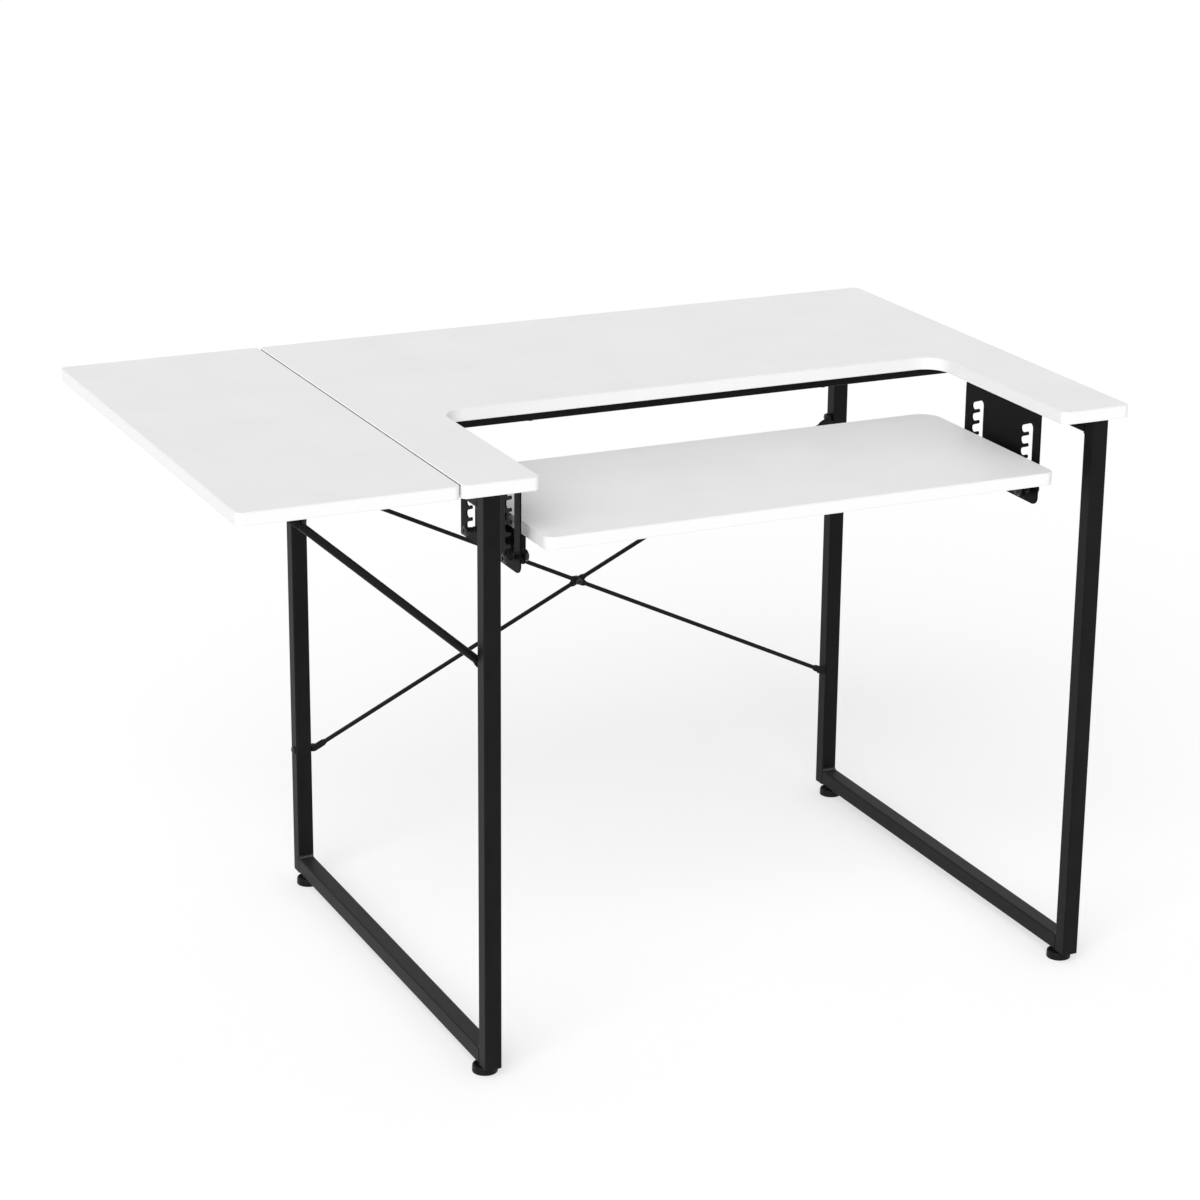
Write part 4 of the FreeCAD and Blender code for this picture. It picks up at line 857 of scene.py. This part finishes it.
@dataclass(frozen=True)
class Screw:
    """A headed screw, bolt or pin, sized from the solid that it stands for.

    A name with "per" in it is a share of the size after it: the head's radius or height, the
    shank's radius or length, or the thread's pitch.
    """

    size: Turned
    kind: Kind
    steps: int = 28
    dome_steps: int = 7
    corner_steps: int = 5
    rim_per_height: float = 0.42
    flank_per_rim: float = 0.15
    seat_per_radius: float = 0.97
    corner_per_radius: float = 0.3
    point_per_shank: float = 2.2
    tip_per_shank: float = 0.25
    pitches_per_shank: float = 3.0
    thread_per_length: float = 0.7
    thread_per_shank: float = 5.0
    chamfer_per_shank: float = 0.15
    end_per_shank: float = 0.8
    depth_per_pitch: float = 0.55
    crest_per_pitch: float = 0.5
    hexagon_per_radius: float = 0.46
    hexagon_up_per_height: float = 0.95
    cross_per_radius: float = 0.58
    cross_deep_per_height: float = 0.95
    cross_up_per_height: float = 1.3
    cross_taper: float = 0.55

    def _head(self) -> Profile:
        """The head's profile.

        Returns:
            The points, from the middle of its crown to the seat.
        """
        radius = self.size.outer_radius
        height = self.size.head_height
        rim = height * self.rim_per_height
        crown = height - rim
        if self.kind is Kind.SOCKET:
            corner = min(crown, radius * self.corner_per_radius)
            edge = arc((radius - corner, corner - height), corner, -90.0, 0.0, self.corner_steps)
            return [(0.0, -height), (radius - corner, -height), *edge[1:], (radius, 0.0)]
        dome = [(radius * math.sin(turn), -rim - crown * math.cos(turn))
                for turn in quarter_turn(self.dome_steps)]
        return [*dome, (radius, -rim * self.flank_per_rim), (radius * self.seat_per_radius, 0.0)]

    def _shank(self) -> Profile:
        """The shank's profile.

        Returns:
            The points, from the seat to its tip.
        """
        radius = self.size.shank_radius
        length = self.size.length - self.size.head_height
        if self.kind is Kind.PAN:
            return [(radius, 0.0), (radius, length - radius * self.point_per_shank),
                    (radius * self.tip_per_shank, length), (0.0, length)]
        pitch = radius / self.pitches_per_shank
        reach = min(length * self.thread_per_length, radius * self.thread_per_shank)
        threads = []
        for turn in range(int(reach / pitch), 0, -1):
            foot = length - radius * self.chamfer_per_shank - turn * pitch
            threads += [(radius - pitch * self.depth_per_pitch, foot),
                        (radius, foot + pitch * self.crest_per_pitch)]
        return [(radius, 0.0), *threads, (radius * self.end_per_shank, length), (0.0, length)]

    def _recess(self) -> Shape:
        """What cuts the recess.

        Returns:
            The cutter.
        """
        height = self.size.head_height
        if self.kind is Kind.SOCKET:
            return prism(self.size.outer_radius * self.hexagon_per_radius, height, HEXAGON,
                         Matrix.Translation((0, 0, -height * self.hexagon_up_per_height)))
        cutter = bmesh.new()
        half = self.size.outer_radius * self.cross_per_radius
        bmesh.ops.create_grid(cutter, x_segments=3, y_segments=3, size=half)
        corners = [face for face in cutter.faces
                   if min(abs(offset) for offset in face.calc_center_median().xy) > half / 3]
        bmesh.ops.delete(cutter, geom=corners, context="FACES")
        grown = bmesh.ops.extrude_face_region(cutter, geom=cutter.faces[:])
        deep = [item for item in grown["geom"] if isinstance(item, bmesh.types.BMVert)]
        bmesh.ops.translate(cutter, verts=deep, vec=(0, 0, height * self.cross_deep_per_height))
        bmesh.ops.scale(cutter, verts=deep, vec=(self.cross_taper, self.cross_taper, 1.0))
        bmesh.ops.translate(cutter, verts=cutter.verts,
                            vec=(0, 0, -height * self.cross_up_per_height))
        bmesh.ops.recalc_face_normals(cutter, faces=cutter.faces)
        return cutter

    def build(self) -> Shape:
        """The shape, with its seat at zero and its shank up along Z."""
        return combined(spun([*self._head(), *self._shank()], self.steps), self._recess(), Cut.AWAY)


@dataclass(frozen=True)
class HexNut:
    """A chamfered hexagon nut, sized from the solid that it stands for."""

    size: Turned
    chamfer_share: float = 0.16
    face_share: float = 0.97
    barrel_excess: float = 1.01
    barrel_steps: int = 60
    bore_clearance: float = 0.00005
    bore_per_height: float = 2.0
    bore_steps: int = 32

    def build(self) -> Shape:
        """Make the shape about its own middle line, starting at zero along Z.

        Returns:
            The shape.
        """
        height = self.size.length
        corner = self.size.outer_radius
        chamfer = height * self.chamfer_share
        halfway = Matrix.Translation((0, 0, height / 2))
        hexagon = prism(corner, height, HEXAGON, halfway)
        first = max(hexagon.verts, key=lambda vertex: vertex.co.x)
        turn = math.atan2(first.co.y, first.co.x)
        bmesh.ops.rotate(hexagon, verts=hexagon.verts, matrix=Matrix.Rotation(-turn, 3, "Z"))
        face = corner * math.cos(math.pi / HEXAGON) * self.face_share
        widest = corner * self.barrel_excess
        barrel = spun([(0.0, 0.0), (face, 0.0), (widest, chamfer), (widest, height - chamfer),
                       (face, height), (0.0, height)], self.barrel_steps)
        bore = prism(self.size.inner_radius + self.bore_clearance, height * self.bore_per_height,
                     self.bore_steps, halfway)
        return combined(combined(hexagon, barrel, Cut.SHARED), bore, Cut.AWAY)


def fastener_piece(name: str, node: str, kind: Kind) -> None:
    """Replace a node of fasteners by detailed ones, each screw turned further than the last.

    Args:
        name: The new piece's name.
        node: The node that holds them.
        kind: What they are.
    """
    is_nut = kind is Kind.NUT
    sizes = [measure(points, flat=is_nut) for points in solids_of(node)]
    if is_nut:
        shape = HexNut(sizes[0]).build()
        places = [size.from_start for size in sizes]
    else:
        shape = Screw(sizes[0], kind).build()
        places = [size.from_seat @ Matrix.Rotation(math.radians(HEAD_TURN_DEGREES * index), 4, "Z")
                  for index, size in enumerate(sizes)]
    add_piece(name, gathered([(shape, place) for place in places]), Slot.FASTENER, [node])


# Sub-assemblies

@dataclass
class Boards:
    """Worktop, drop leaf and platform."""

    worktop: str = "main_top"
    leaf: str = "drop_leaf"
    platform: str = "machine_platform"

    def build(self) -> None:
        """Dress the three boards."""
        low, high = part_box(self.worktop)
        seam = (low.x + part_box(self.leaf)[1].x) / 2
        laminate = Laminate(name="white_laminate_worktop", low=low.z, high=high.z, seam=seam).build()
        for node in (self.worktop, self.leaf):
            dress(node, laminate)
        low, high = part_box(self.platform)
        dress(self.platform, Laminate(name="white_laminate_platform", low=low.z, high=high.z).build())


@dataclass
class SideFrames:
    """Square tube legs and rails, with a weld bead in each inner corner."""

    sides: tuple[str, ...] = ("left", "right")
    tubes: tuple[str, ...] = ("_front_leg", "_back_leg", "_top_rail", "_bottom_rail")
    bead_radius: float = 0.0046
    bead_end: float = 0.0008
    bead_end_power: int = 8
    bead_end_least: float = 0.05
    ripple_pitch: float = 0.0025
    ripple_steps: int = 4
    ripple_share: float = 0.2
    segments: int = 20

    def _bead(self, corner_y: float, corner_z: float, low: float, high: float) -> Shape:
        """A rippled bead along X.

        Args:
            corner_y: Where the corner lies, front to back.
            corner_z: Its height.
            low: Where the bead starts, left to right.
            high: Where it ends.

        Returns:
            The shape.
        """
        count = round((high - low) / self.ripple_pitch) * self.ripple_steps
        stations = []
        for index in range(count + 1):
            share = index / count
            ripple = abs(math.sin(math.pi * index / self.ripple_steps))
            taper = math.sqrt(max(self.bead_end_least, 1 - (2 * share - 1) ** self.bead_end_power))
            radius = self.bead_radius * (1 - self.ripple_share + self.ripple_share * ripple) * taper
            place = Vector((low + (high - low) * share, corner_y, corner_z))
            stations.append(Station(place, BACKWARD, UPWARD, radius, radius))
        return swept(stations, self.segments)

    def build(self) -> None:
        """Dress the tubes and lay the beads."""
        for side in self.sides:
            nodes = [side + tube for tube in self.tubes]
            for node in nodes:
                dress(node, MATERIALS[Slot.POWDER_COAT])
            beads = []
            for node, upper in ((side + "_top_rail", False), (side + "_bottom_rail", True)):
                low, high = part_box(node)
                height = high.z if upper else low.z
                beads += [self._bead(corner, height, low.x + self.bead_end, high.x - self.bead_end)
                          for corner in (low.y, high.y)]
            add_piece(side + "_weld_beads", gathered([(bead, Matrix()) for bead in beads]),
                      Slot.POWDER_COAT, nodes, shown_too=True, look=BEAD_COAT)
        dress("crossbar", MATERIALS[Slot.POWDER_COAT])
        dress("leg_end_plugs", MATERIALS[Slot.PLASTIC])
        fastener_piece("frame_pan_screws", "frame_screws", Kind.PAN)
        fastener_piece("crossbar_socket_bolts", "crossbar_bolts", Kind.SOCKET)


@dataclass
class BackBrace:
    """The X of two round rods, each pressed flat at its middle and ends."""

    rod_radius: float = 0.003
    flat_wide: float = 0.0048
    flat_thin: float = 0.0015
    flat_squareness: float = 5.0
    middle_flat: float = 0.0075
    end_flat: float = 0.013
    taper: float = 0.006
    bend_radius: float = 0.004
    tip_least: float = 0.04
    steps: int = 8
    segments: int = 24

    def _section(self, distance: float, half_length: float) -> tuple[float, float, float]:
        """Half widths and squareness at a distance from the middle.

        Args:
            distance: Distance along the rod from its middle.
            half_length: Middle to the start of the end bend.

        Returns:
            Half width, half thickness and squareness.
        """
        from_middle = (distance - self.middle_flat) / self.taper
        from_end = (half_length - self.end_flat - distance) / self.taper
        share = eased(min(1.0, max(0.0, min(from_middle, from_end))))
        return (blended(self.flat_wide, self.rod_radius, share),
                blended(self.flat_thin, self.rod_radius, share),
                blended(self.flat_squareness, ROUND, share))

    def _half(self, middle: Vector, bolt: Vector) -> list[Station]:
        """Sections from the crossing out to one end.

        Args:
            middle: The rod's own middle.
            bolt: Middle of the tab at the leg's inner face.

        Returns:
            The sections.
        """
        corner = Vector((bolt.x, middle.y, bolt.z))
        run = corner - middle
        slope = run.normalized()
        across = BACKWARD.cross(slope).normalized()
        if across.z < 0:
            across = -across
        half_length = run.length - self.bend_radius
        marks = {0.0, half_length}
        for start, end in ((self.middle_flat, self.middle_flat + self.taper),
                           (half_length - self.end_flat - self.taper, half_length - self.end_flat)):
            marks |= {start + (end - start) * step / self.steps for step in range(self.steps + 1)}
        stations = [Station(middle + slope * mark, across, BACKWARD, *self._section(mark, half_length))
                    for mark in sorted(marks)]
        outward = Vector((math.copysign(1.0, slope.x), 0, 0))
        centre = corner - slope * self.bend_radius + Vector((0, self.bend_radius, 0))
        for step, turn in enumerate(quarter_turn(self.steps)[1:], 1):
            share = step / self.steps
            place = centre + slope.lerp(outward, share).normalized() * (self.bend_radius * math.sin(turn))
            place.y = centre.y - self.bend_radius * math.cos(turn)
            thin = (Vector((0, math.cos(turn), 0)) - outward * math.sin(turn)).normalized()
            wide = across.lerp(UPWARD, share).normalized()
            stations.append(Station(place, wide, thin, self.flat_wide, self.flat_thin,
                                    self.flat_squareness))
        last = stations[-1].place
        for turn in quarter_turn(self.steps):
            place = Vector((last.x, bolt.y + self.flat_wide * math.sin(turn), bolt.z))
            narrow = max(self.tip_least, math.cos(turn)) * self.flat_wide
            stations.append(Station(place, UPWARD, -outward, narrow, self.flat_thin,
                                    self.flat_squareness))
        return stations

    def _tab(self, nut: Turned, centre: Vector) -> Vector:
        """Middle of the flattened end that a nut holds against the leg's inner face.

        Args:
            nut: The nut.
            centre: The crossing.

        Returns:
            The tab's middle.
        """
        ends = (nut.start, nut.start + nut.direction * nut.length)
        face = max(ends, key=lambda end: abs(end.x - centre.x))
        return face + Vector((math.copysign(self.flat_thin, face.x - centre.x), 0, 0))

    def _rod(self, name: str, tabs: Sequence[Vector], centre: Vector) -> None:
        """Build one rod.

        Args:
            name: Which rod.
            tabs: Middles of its two tabs, left and right.
            centre: The crossing.
        """
        node = name + "_brace_rod"
        depths = [point.y for point in solids_of(node)[0]
                  if abs(point.x - centre.x) < self.middle_flat]
        middle = Vector((centre.x, (min(depths) + max(depths)) / 2, centre.z))
        left, right = (self._half(middle, tab) for tab in tabs)
        shape = swept(aligned(left[::-1] + right[1:]), self.segments)
        add_piece(name + "_round_rod", shape, Slot.POWDER_COAT, [node], look=ROD_COAT)

    def build(self) -> None:
        """Build both rods and their fasteners."""
        centre = measure(solids_of("brace_crossing_nut")[0], flat=True).start
        nuts = [measure(points, flat=True) for points in solids_of("brace_end_nuts")]
        tabs = sorted((self._tab(nut, centre) for nut in nuts), key=lambda tab: tab.x)
        for name, falls in (("falling", True), ("rising", False)):
            own = [tab for tab in tabs if ((tab.x < centre.x) == (tab.z > centre.z)) == falls]
            self._rod(name, own, centre)
        fastener_piece("brace_end_socket_bolts", "brace_end_bolts", Kind.SOCKET)
        fastener_piece("brace_end_hex_nuts", "brace_end_nuts", Kind.NUT)
        fastener_piece("brace_crossing_socket_bolt", "brace_crossing_bolt", Kind.SOCKET)
        fastener_piece("brace_crossing_hex_nut", "brace_crossing_nut", Kind.NUT)


@dataclass
class PlatformLift:
    """Comb plates, platform brackets and the headed pins that ride in the combs."""

    sides: tuple[str, ...] = ("left", "right")

    def build(self) -> None:
        """Dress the plates and build their fasteners."""
        for side in self.sides:
            # Painted shade: the plates and brackets take the darker copy of the frame coat.
            dress(side + "_comb_plate", SHADED_PLATE_COAT)
            dress(side + "_platform_bracket", SHADED_PLATE_COAT)
        fastener_piece("comb_plate_pan_screws", "comb_plate_screws", Kind.PAN)
        fastener_piece("bracket_pan_screws", "platform_bracket_screws", Kind.PAN)
        fastener_piece("headed_platform_pins", "platform_pins", Kind.SOCKET)
        fastener_piece("platform_pin_hex_nuts", "platform_pin_nuts", Kind.NUT)


@dataclass
class LeafHinges:
    """Three butt hinges under the seam."""

    ends: tuple[str, ...] = ("front", "middle", "back")

    def build(self) -> None:
        """Dress the plates and pins and build the screws."""
        for end in self.ends:
            dress(end + "_hinge_top_plate", MATERIALS[Slot.POWDER_COAT])
            dress(end + "_hinge_leaf_plate", MATERIALS[Slot.POWDER_COAT])
            dress(end + "_hinge_pin", MATERIALS[Slot.FASTENER])
        fastener_piece("hinge_top_pan_screws", "hinge_top_screws", Kind.PAN)
        fastener_piece("hinge_leaf_pan_screws", "hinge_leaf_screws", Kind.PAN)


@dataclass
class LeafStruts:
    """Round struts with a flattened eye at one end and a rubber cap at the other.

    The lip's corners lie so many lip sizes in from the cap's side and up from its open end.
    """

    ends: tuple[str, ...] = ("front", "back")
    eye_radius: float = 0.0069
    eye_thin: float = 0.0025
    eye_least: float = 0.05
    eye_squareness: float = 6.0
    eye_steps: int = 9
    bolt_hole: float = 0.0042
    bolt_hole_reach: float = 0.0276
    bolt_hole_steps: int = 32
    neck: float = 0.0065
    taper: float = 0.008
    taper_steps: int = 10
    rounding_lead: float = 1.6
    tube_radius: float = 0.005
    tube_end_share: float = 0.998
    segments: int = 28
    cap_radius: float = 0.0058
    cap_end: float = 0.003
    cap_length: float = 0.016
    cap_arc_steps: int = 10
    cap_steps: int = 36
    lip: float = 0.0006
    lip_corners: Profile = ((0.0, 3.0), (0.5, 2.4), (0.0, 1.8), (0.0, 0.6), (0.6, 0.0))

    def _stations(self, pivot: Vector, direction: Vector, length: float) -> list[Station]:
        """Sections of the strut, from behind its pivot to inside its cap.

        Args:
            pivot: Middle of the eye.
            direction: Where the strut runs.
            length: Pivot to the end of the tube.

        Returns:
            The sections.
        """
        thin = BACKWARD
        wide = thin.cross(direction).normalized()
        stations = []
        for turn in quarter_turn(self.eye_steps):
            along = -self.eye_radius * math.cos(turn)
            half = self.eye_radius * max(self.eye_least, math.sin(turn))
            stations.append(Station(pivot + direction * along, wide, thin, half, self.eye_thin,
                                    self.eye_squareness))
        for step in range(self.taper_steps + 1):
            share = step / self.taper_steps
            place = pivot + direction * (self.neck + self.taper * share)
            stations.append(Station(place, wide, thin,
                                    blended(self.eye_radius, self.tube_radius, eased(share)),
                                    blended(self.eye_thin, self.tube_radius, eased(share)),
                                    blended(self.eye_squareness, ROUND,
                                            min(1.0, share * self.rounding_lead))))
        end = pivot + direction * length
        return [*stations, Station(end, wide, thin, self.tube_radius, self.tube_radius)]

    def _cap(self) -> Shape:
        """A rubber cap with a round end, about local Z, its tip's middle at zero.

        Returns:
            The shape.
        """
        open_end = self.cap_end - self.cap_length
        radius = self.cap_radius
        lip = [(radius - self.lip * inward, open_end + self.lip * up) for inward, up in self.lip_corners]
        return spun([*reversed(arc((0.0, 0.0), radius, 0.0, 90.0, self.cap_arc_steps)), *lip,
                     (self.tube_radius, open_end), (self.tube_radius, -self.cap_end),
                     (0.0, -self.cap_end)], self.cap_steps)

    def _strut(self, end: str, pivot: Vector) -> None:
        """Build one strut and its cap.

        Args:
            end: Which strut.
            pivot: Where its joint lies.
        """
        points = solids_of(end + "_strut")[0]
        reach = max((point - pivot).length for point in points)
        far = [point for point in points if (point - pivot).length > reach * self.tube_end_share]
        tube_end = sum(far, Vector()) / len(far)
        direction = tube_end - pivot
        direction.y = 0.0
        length = direction.length
        direction.normalize()
        pivot.y = tube_end.y
        shape = swept(self._stations(pivot, direction, length), self.segments)
        hole = prism(self.bolt_hole, self.bolt_hole_reach, self.bolt_hole_steps,
                     frame_along(BACKWARD, pivot))
        add_piece(end + "_round_strut", combined(shape, hole, Cut.AWAY), Slot.POWDER_COAT,
                  [end + "_strut"], look=ROD_COAT)
        cap = self._cap()
        placement = frame_along(direction, pivot + direction * (length + self.cap_end))
        bmesh.ops.transform(cap, matrix=placement, verts=cap.verts)
        add_piece(end + "_round_cap", cap, Slot.RUBBER, [end + "_strut_cap"])

    def build(self) -> None:
        """Build both struts, their caps and pivots, and dress the catches."""
        joints = {joint["name"]: joint for joint in frame["joints"]}
        for end in self.ends:
            self._strut(end, Vector(joints[end + "_strut_swing"]["pos_m"]))
            dress(end + "_strut_catch", MATERIALS[Slot.POWDER_COAT])
        fastener_piece("strut_pivot_socket_bolts", "strut_pivot_bolts", Kind.SOCKET)
        dress("strut_pivot_spacers", MATERIALS[Slot.PLASTIC])
        fastener_piece("catch_pan_screws", "catch_screws", Kind.PAN)


@dataclass
class LevellingFeet:
    """Moulded pads on threaded studs."""

    corners: tuple[str, ...] = ("front_left", "back_left", "front_right", "back_right")
    edge_radius: float = 0.0012
    edge_steps: int = 5
    shoulder_radius: float = 0.0022
    shoulder_steps: int = 6
    draft: float = 0.0003
    hub_radius: float = 0.006
    hub_height: float = 0.0025
    hub_fillet: float = 0.00075
    hub_fillet_steps: int = 4
    rim_width: float = 0.0028
    shelf_drop: float = 0.0012
    shelf_slope: float = 0.4
    sole_recess: float = 0.0005
    sole_rim: float = 0.0026
    groove: float = 0.0004
    groove_height: float = 2.2
    groove_top: float = 2.5
    groove_out: float = 0.3
    pad_steps: int = 64
    thread_pitch: float = 0.001
    thread_share: float = 0.5
    stud_end: float = 0.75
    stud_steps: int = 24

    def _pad(self, radius: float, height: float, bore: float) -> Shape:
        """A pad that stands on zero.

        Args:
            radius: Its outer radius.
            height: Floor to the top of its hub.
            bore: Radius of the stud that it is moulded round.

        Returns:
            The shape.
        """
        rim_top = height - self.hub_height
        shelf = rim_top - self.shelf_drop
        rim_inner = radius - self.rim_width
        upper = radius - self.draft
        edge, shoulder, fillet = self.edge_radius, self.shoulder_radius, self.hub_fillet
        inner = radius - self.sole_rim
        profile = [(0.0, self.sole_recess), (inner - self.sole_recess, self.sole_recess), (inner, 0.0),
                   (radius - edge, 0.0),
                   *arc((radius - edge, edge), edge, -90.0, 0.0, self.edge_steps)[1:],
                   (radius - self.groove, edge * self.groove_height),
                   (radius - self.groove * self.groove_out, edge * self.groove_top),
                   (upper, rim_top - shoulder),
                   *arc((upper - shoulder, rim_top - shoulder), shoulder, 0.0, 90.0,
                        self.shoulder_steps)[1:],
                   (rim_inner, rim_top), (rim_inner - self.shelf_drop * self.shelf_slope, shelf),
                   (self.hub_radius + fillet, shelf),
                   *reversed(arc((self.hub_radius + fillet, shelf + fillet), fillet, 180.0, 270.0,
                                 self.hub_fillet_steps)[:-1]),
                   (self.hub_radius, height - self.groove), (self.hub_radius - self.groove, height),
                   (bore, height), (bore, rim_top), (0.0, rim_top)]
        return spun(profile, self.pad_steps)

    def _stud(self, radius: float, low: float, high: float) -> Shape:
        """A threaded stud along Z.

        Args:
            radius: Its radius over the threads.
            low: Where it starts.
            high: Where it ends.

        Returns:
            The shape.
        """
        crest = self.thread_pitch * self.thread_share
        threads = []
        for turn in range(int((high - low) / self.thread_pitch) - 1):
            foot = low + turn * self.thread_pitch
            threads += [(radius - crest, foot), (radius, foot + crest)]
        return spun([(0.0, low), *threads, (radius * self.stud_end, high), (0.0, high)], self.stud_steps)

    def build(self) -> None:
        """Build the pads and studs and dress the rivet nuts."""
        for corner in self.corners:
            low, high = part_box(corner + "_foot_pad")
            stud_low, stud_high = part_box(corner + "_foot_stud")
            middle = (low + high) / 2
            stud_radius = (stud_high.x - stud_low.x) / 2
            pad = self._pad((high.x - low.x) / 2, high.z - low.z, stud_radius)
            stud = self._stud(stud_radius, high.z - low.z - self.hub_height, stud_high.z - low.z)
            for shape in (pad, stud):
                bmesh.ops.translate(shape, verts=shape.verts, vec=(middle.x, middle.y, low.z))
            add_piece(corner + "_levelling_pad", pad, Slot.PLASTIC, [corner + "_foot_pad"])
            add_piece(corner + "_threaded_stud", stud, Slot.ZINC, [corner + "_foot_stud"])
        dress("foot_rivet_nuts", MATERIALS[Slot.ZINC])


# Studio

@dataclass
class Studio:
    """Pale floor, soft light and the camera."""

    floor_radius: float = 30.0
    floor_steps: int = 64
    floor_colour: Colour = grey(0.92)
    floor_shade: Colour = grey(0.93)
    floor_waves: float = 0.7
    floor_roughness: float = 0.9
    floor_lift: float = 0.45
    floor_white: float = 1.13
    sky_level: float = 0.60
    lens: float = 98.27
    sensor: float = 36.0
    camera_place: Point = (-1.6808, -3.6501, 1.8214)
    yaw: float = 25.0
    pitch: float = 18.535
    roll: float = 0.498
    key_heading: Point = (0.52, 0.64, -0.56)
    key_spread: float = math.radians(48)
    key_power: float = 2.17

    def _floor(self) -> None:
        """Lay the floor."""
        shape = bmesh.new()
        bmesh.ops.create_circle(shape, cap_ends=True, segments=self.floor_steps,
                                radius=self.floor_radius)
        floor = linked("studio_floor", meshed("studio_floor", shape))
        tree = ShaderTree(bpy.data.materials.new("studio_floor"))
        colour = tree.mix(tree.noise(self.floor_waves), self.floor_colour, self.floor_shade)
        lit = tree.signal("ShaderNodeBsdfPrincipled", "BSDF", {
            "Base Color": colour, "Roughness": self.floor_roughness, "Specular IOR Level": 0.0})
        white = tree.signal("ShaderNodeEmission", "Emission", {"Strength": self.floor_white})
        lift = tree.seen_directly() * self.floor_lift
        shown = tree.signal("ShaderNodeMixShader", "Shader", {0: lift, 1: lit, 2: white})
        tree.node("ShaderNodeOutputMaterial", {"Surface": shown})
        floor.data.materials.append(tree.owner)

    def _world(self) -> None:
        """Set the even light of the room and the white behind it."""
        world = bpy.data.worlds.new("studio")
        tree = ShaderTree(world)
        even, white = (tree.signal("ShaderNodeBackground", "Background",
                                   {"Color": grey(1.0), "Strength": level})
                       for level in (self.sky_level, 1.0))
        shown = tree.signal("ShaderNodeMixShader", "Shader", {0: tree.seen_directly(), 1: even, 2: white})
        tree.node("ShaderNodeOutputWorld", {"Surface": shown})
        bpy.context.scene.world = world

    def _key(self) -> None:
        """Hang a wide soft light that reaches the whole floor evenly."""
        light = bpy.data.lights.new("key_light", "SUN")
        light.angle = self.key_spread
        light.energy = self.key_power
        turn = Vector(self.key_heading).to_track_quat("-Z", "Y")
        linked("key_light", light).matrix_world = turn.to_matrix().to_4x4()

    def _camera(self) -> None:
        """Set the camera where the photograph was taken from."""
        lens = bpy.data.cameras.new("photo_camera")
        lens.sensor_width = self.sensor
        lens.lens = self.lens
        camera = linked("photo_camera", lens)
        yaw = Matrix.Rotation(-math.radians(self.yaw), 4, "Z")
        pitch = Matrix.Rotation(math.radians(90.0 - self.pitch), 4, "X")
        roll = Matrix.Rotation(math.radians(self.roll), 4, "Z")
        camera.matrix_world = Matrix.Translation(self.camera_place) @ yaw @ pitch @ roll
        bpy.context.scene.camera = camera

    def build(self) -> None:
        """Set up the whole studio."""
        self._floor()
        self._world()
        self._key()
        self._camera()
        bpy.context.scene.view_settings.view_transform = "Standard"


class Assembly(Protocol):
    """What main builds."""

    def build(self) -> None:
        """Make and dress its pieces."""


def main() -> None:
    """Build the table's looks piece by piece."""
    logging.basicConfig(level=logging.INFO, format="%(message)s")
    assemblies: tuple[Assembly, ...] = (Boards(), SideFrames(), BackBrace(), PlatformLift(),
                                        LeafHinges(), LeafStruts(), LevellingFeet(), Studio())
    for assembly in assemblies:
        assembly.build()
        log.info("%s done", type(assembly).__name__)


if __name__ == "__main__":
    main()
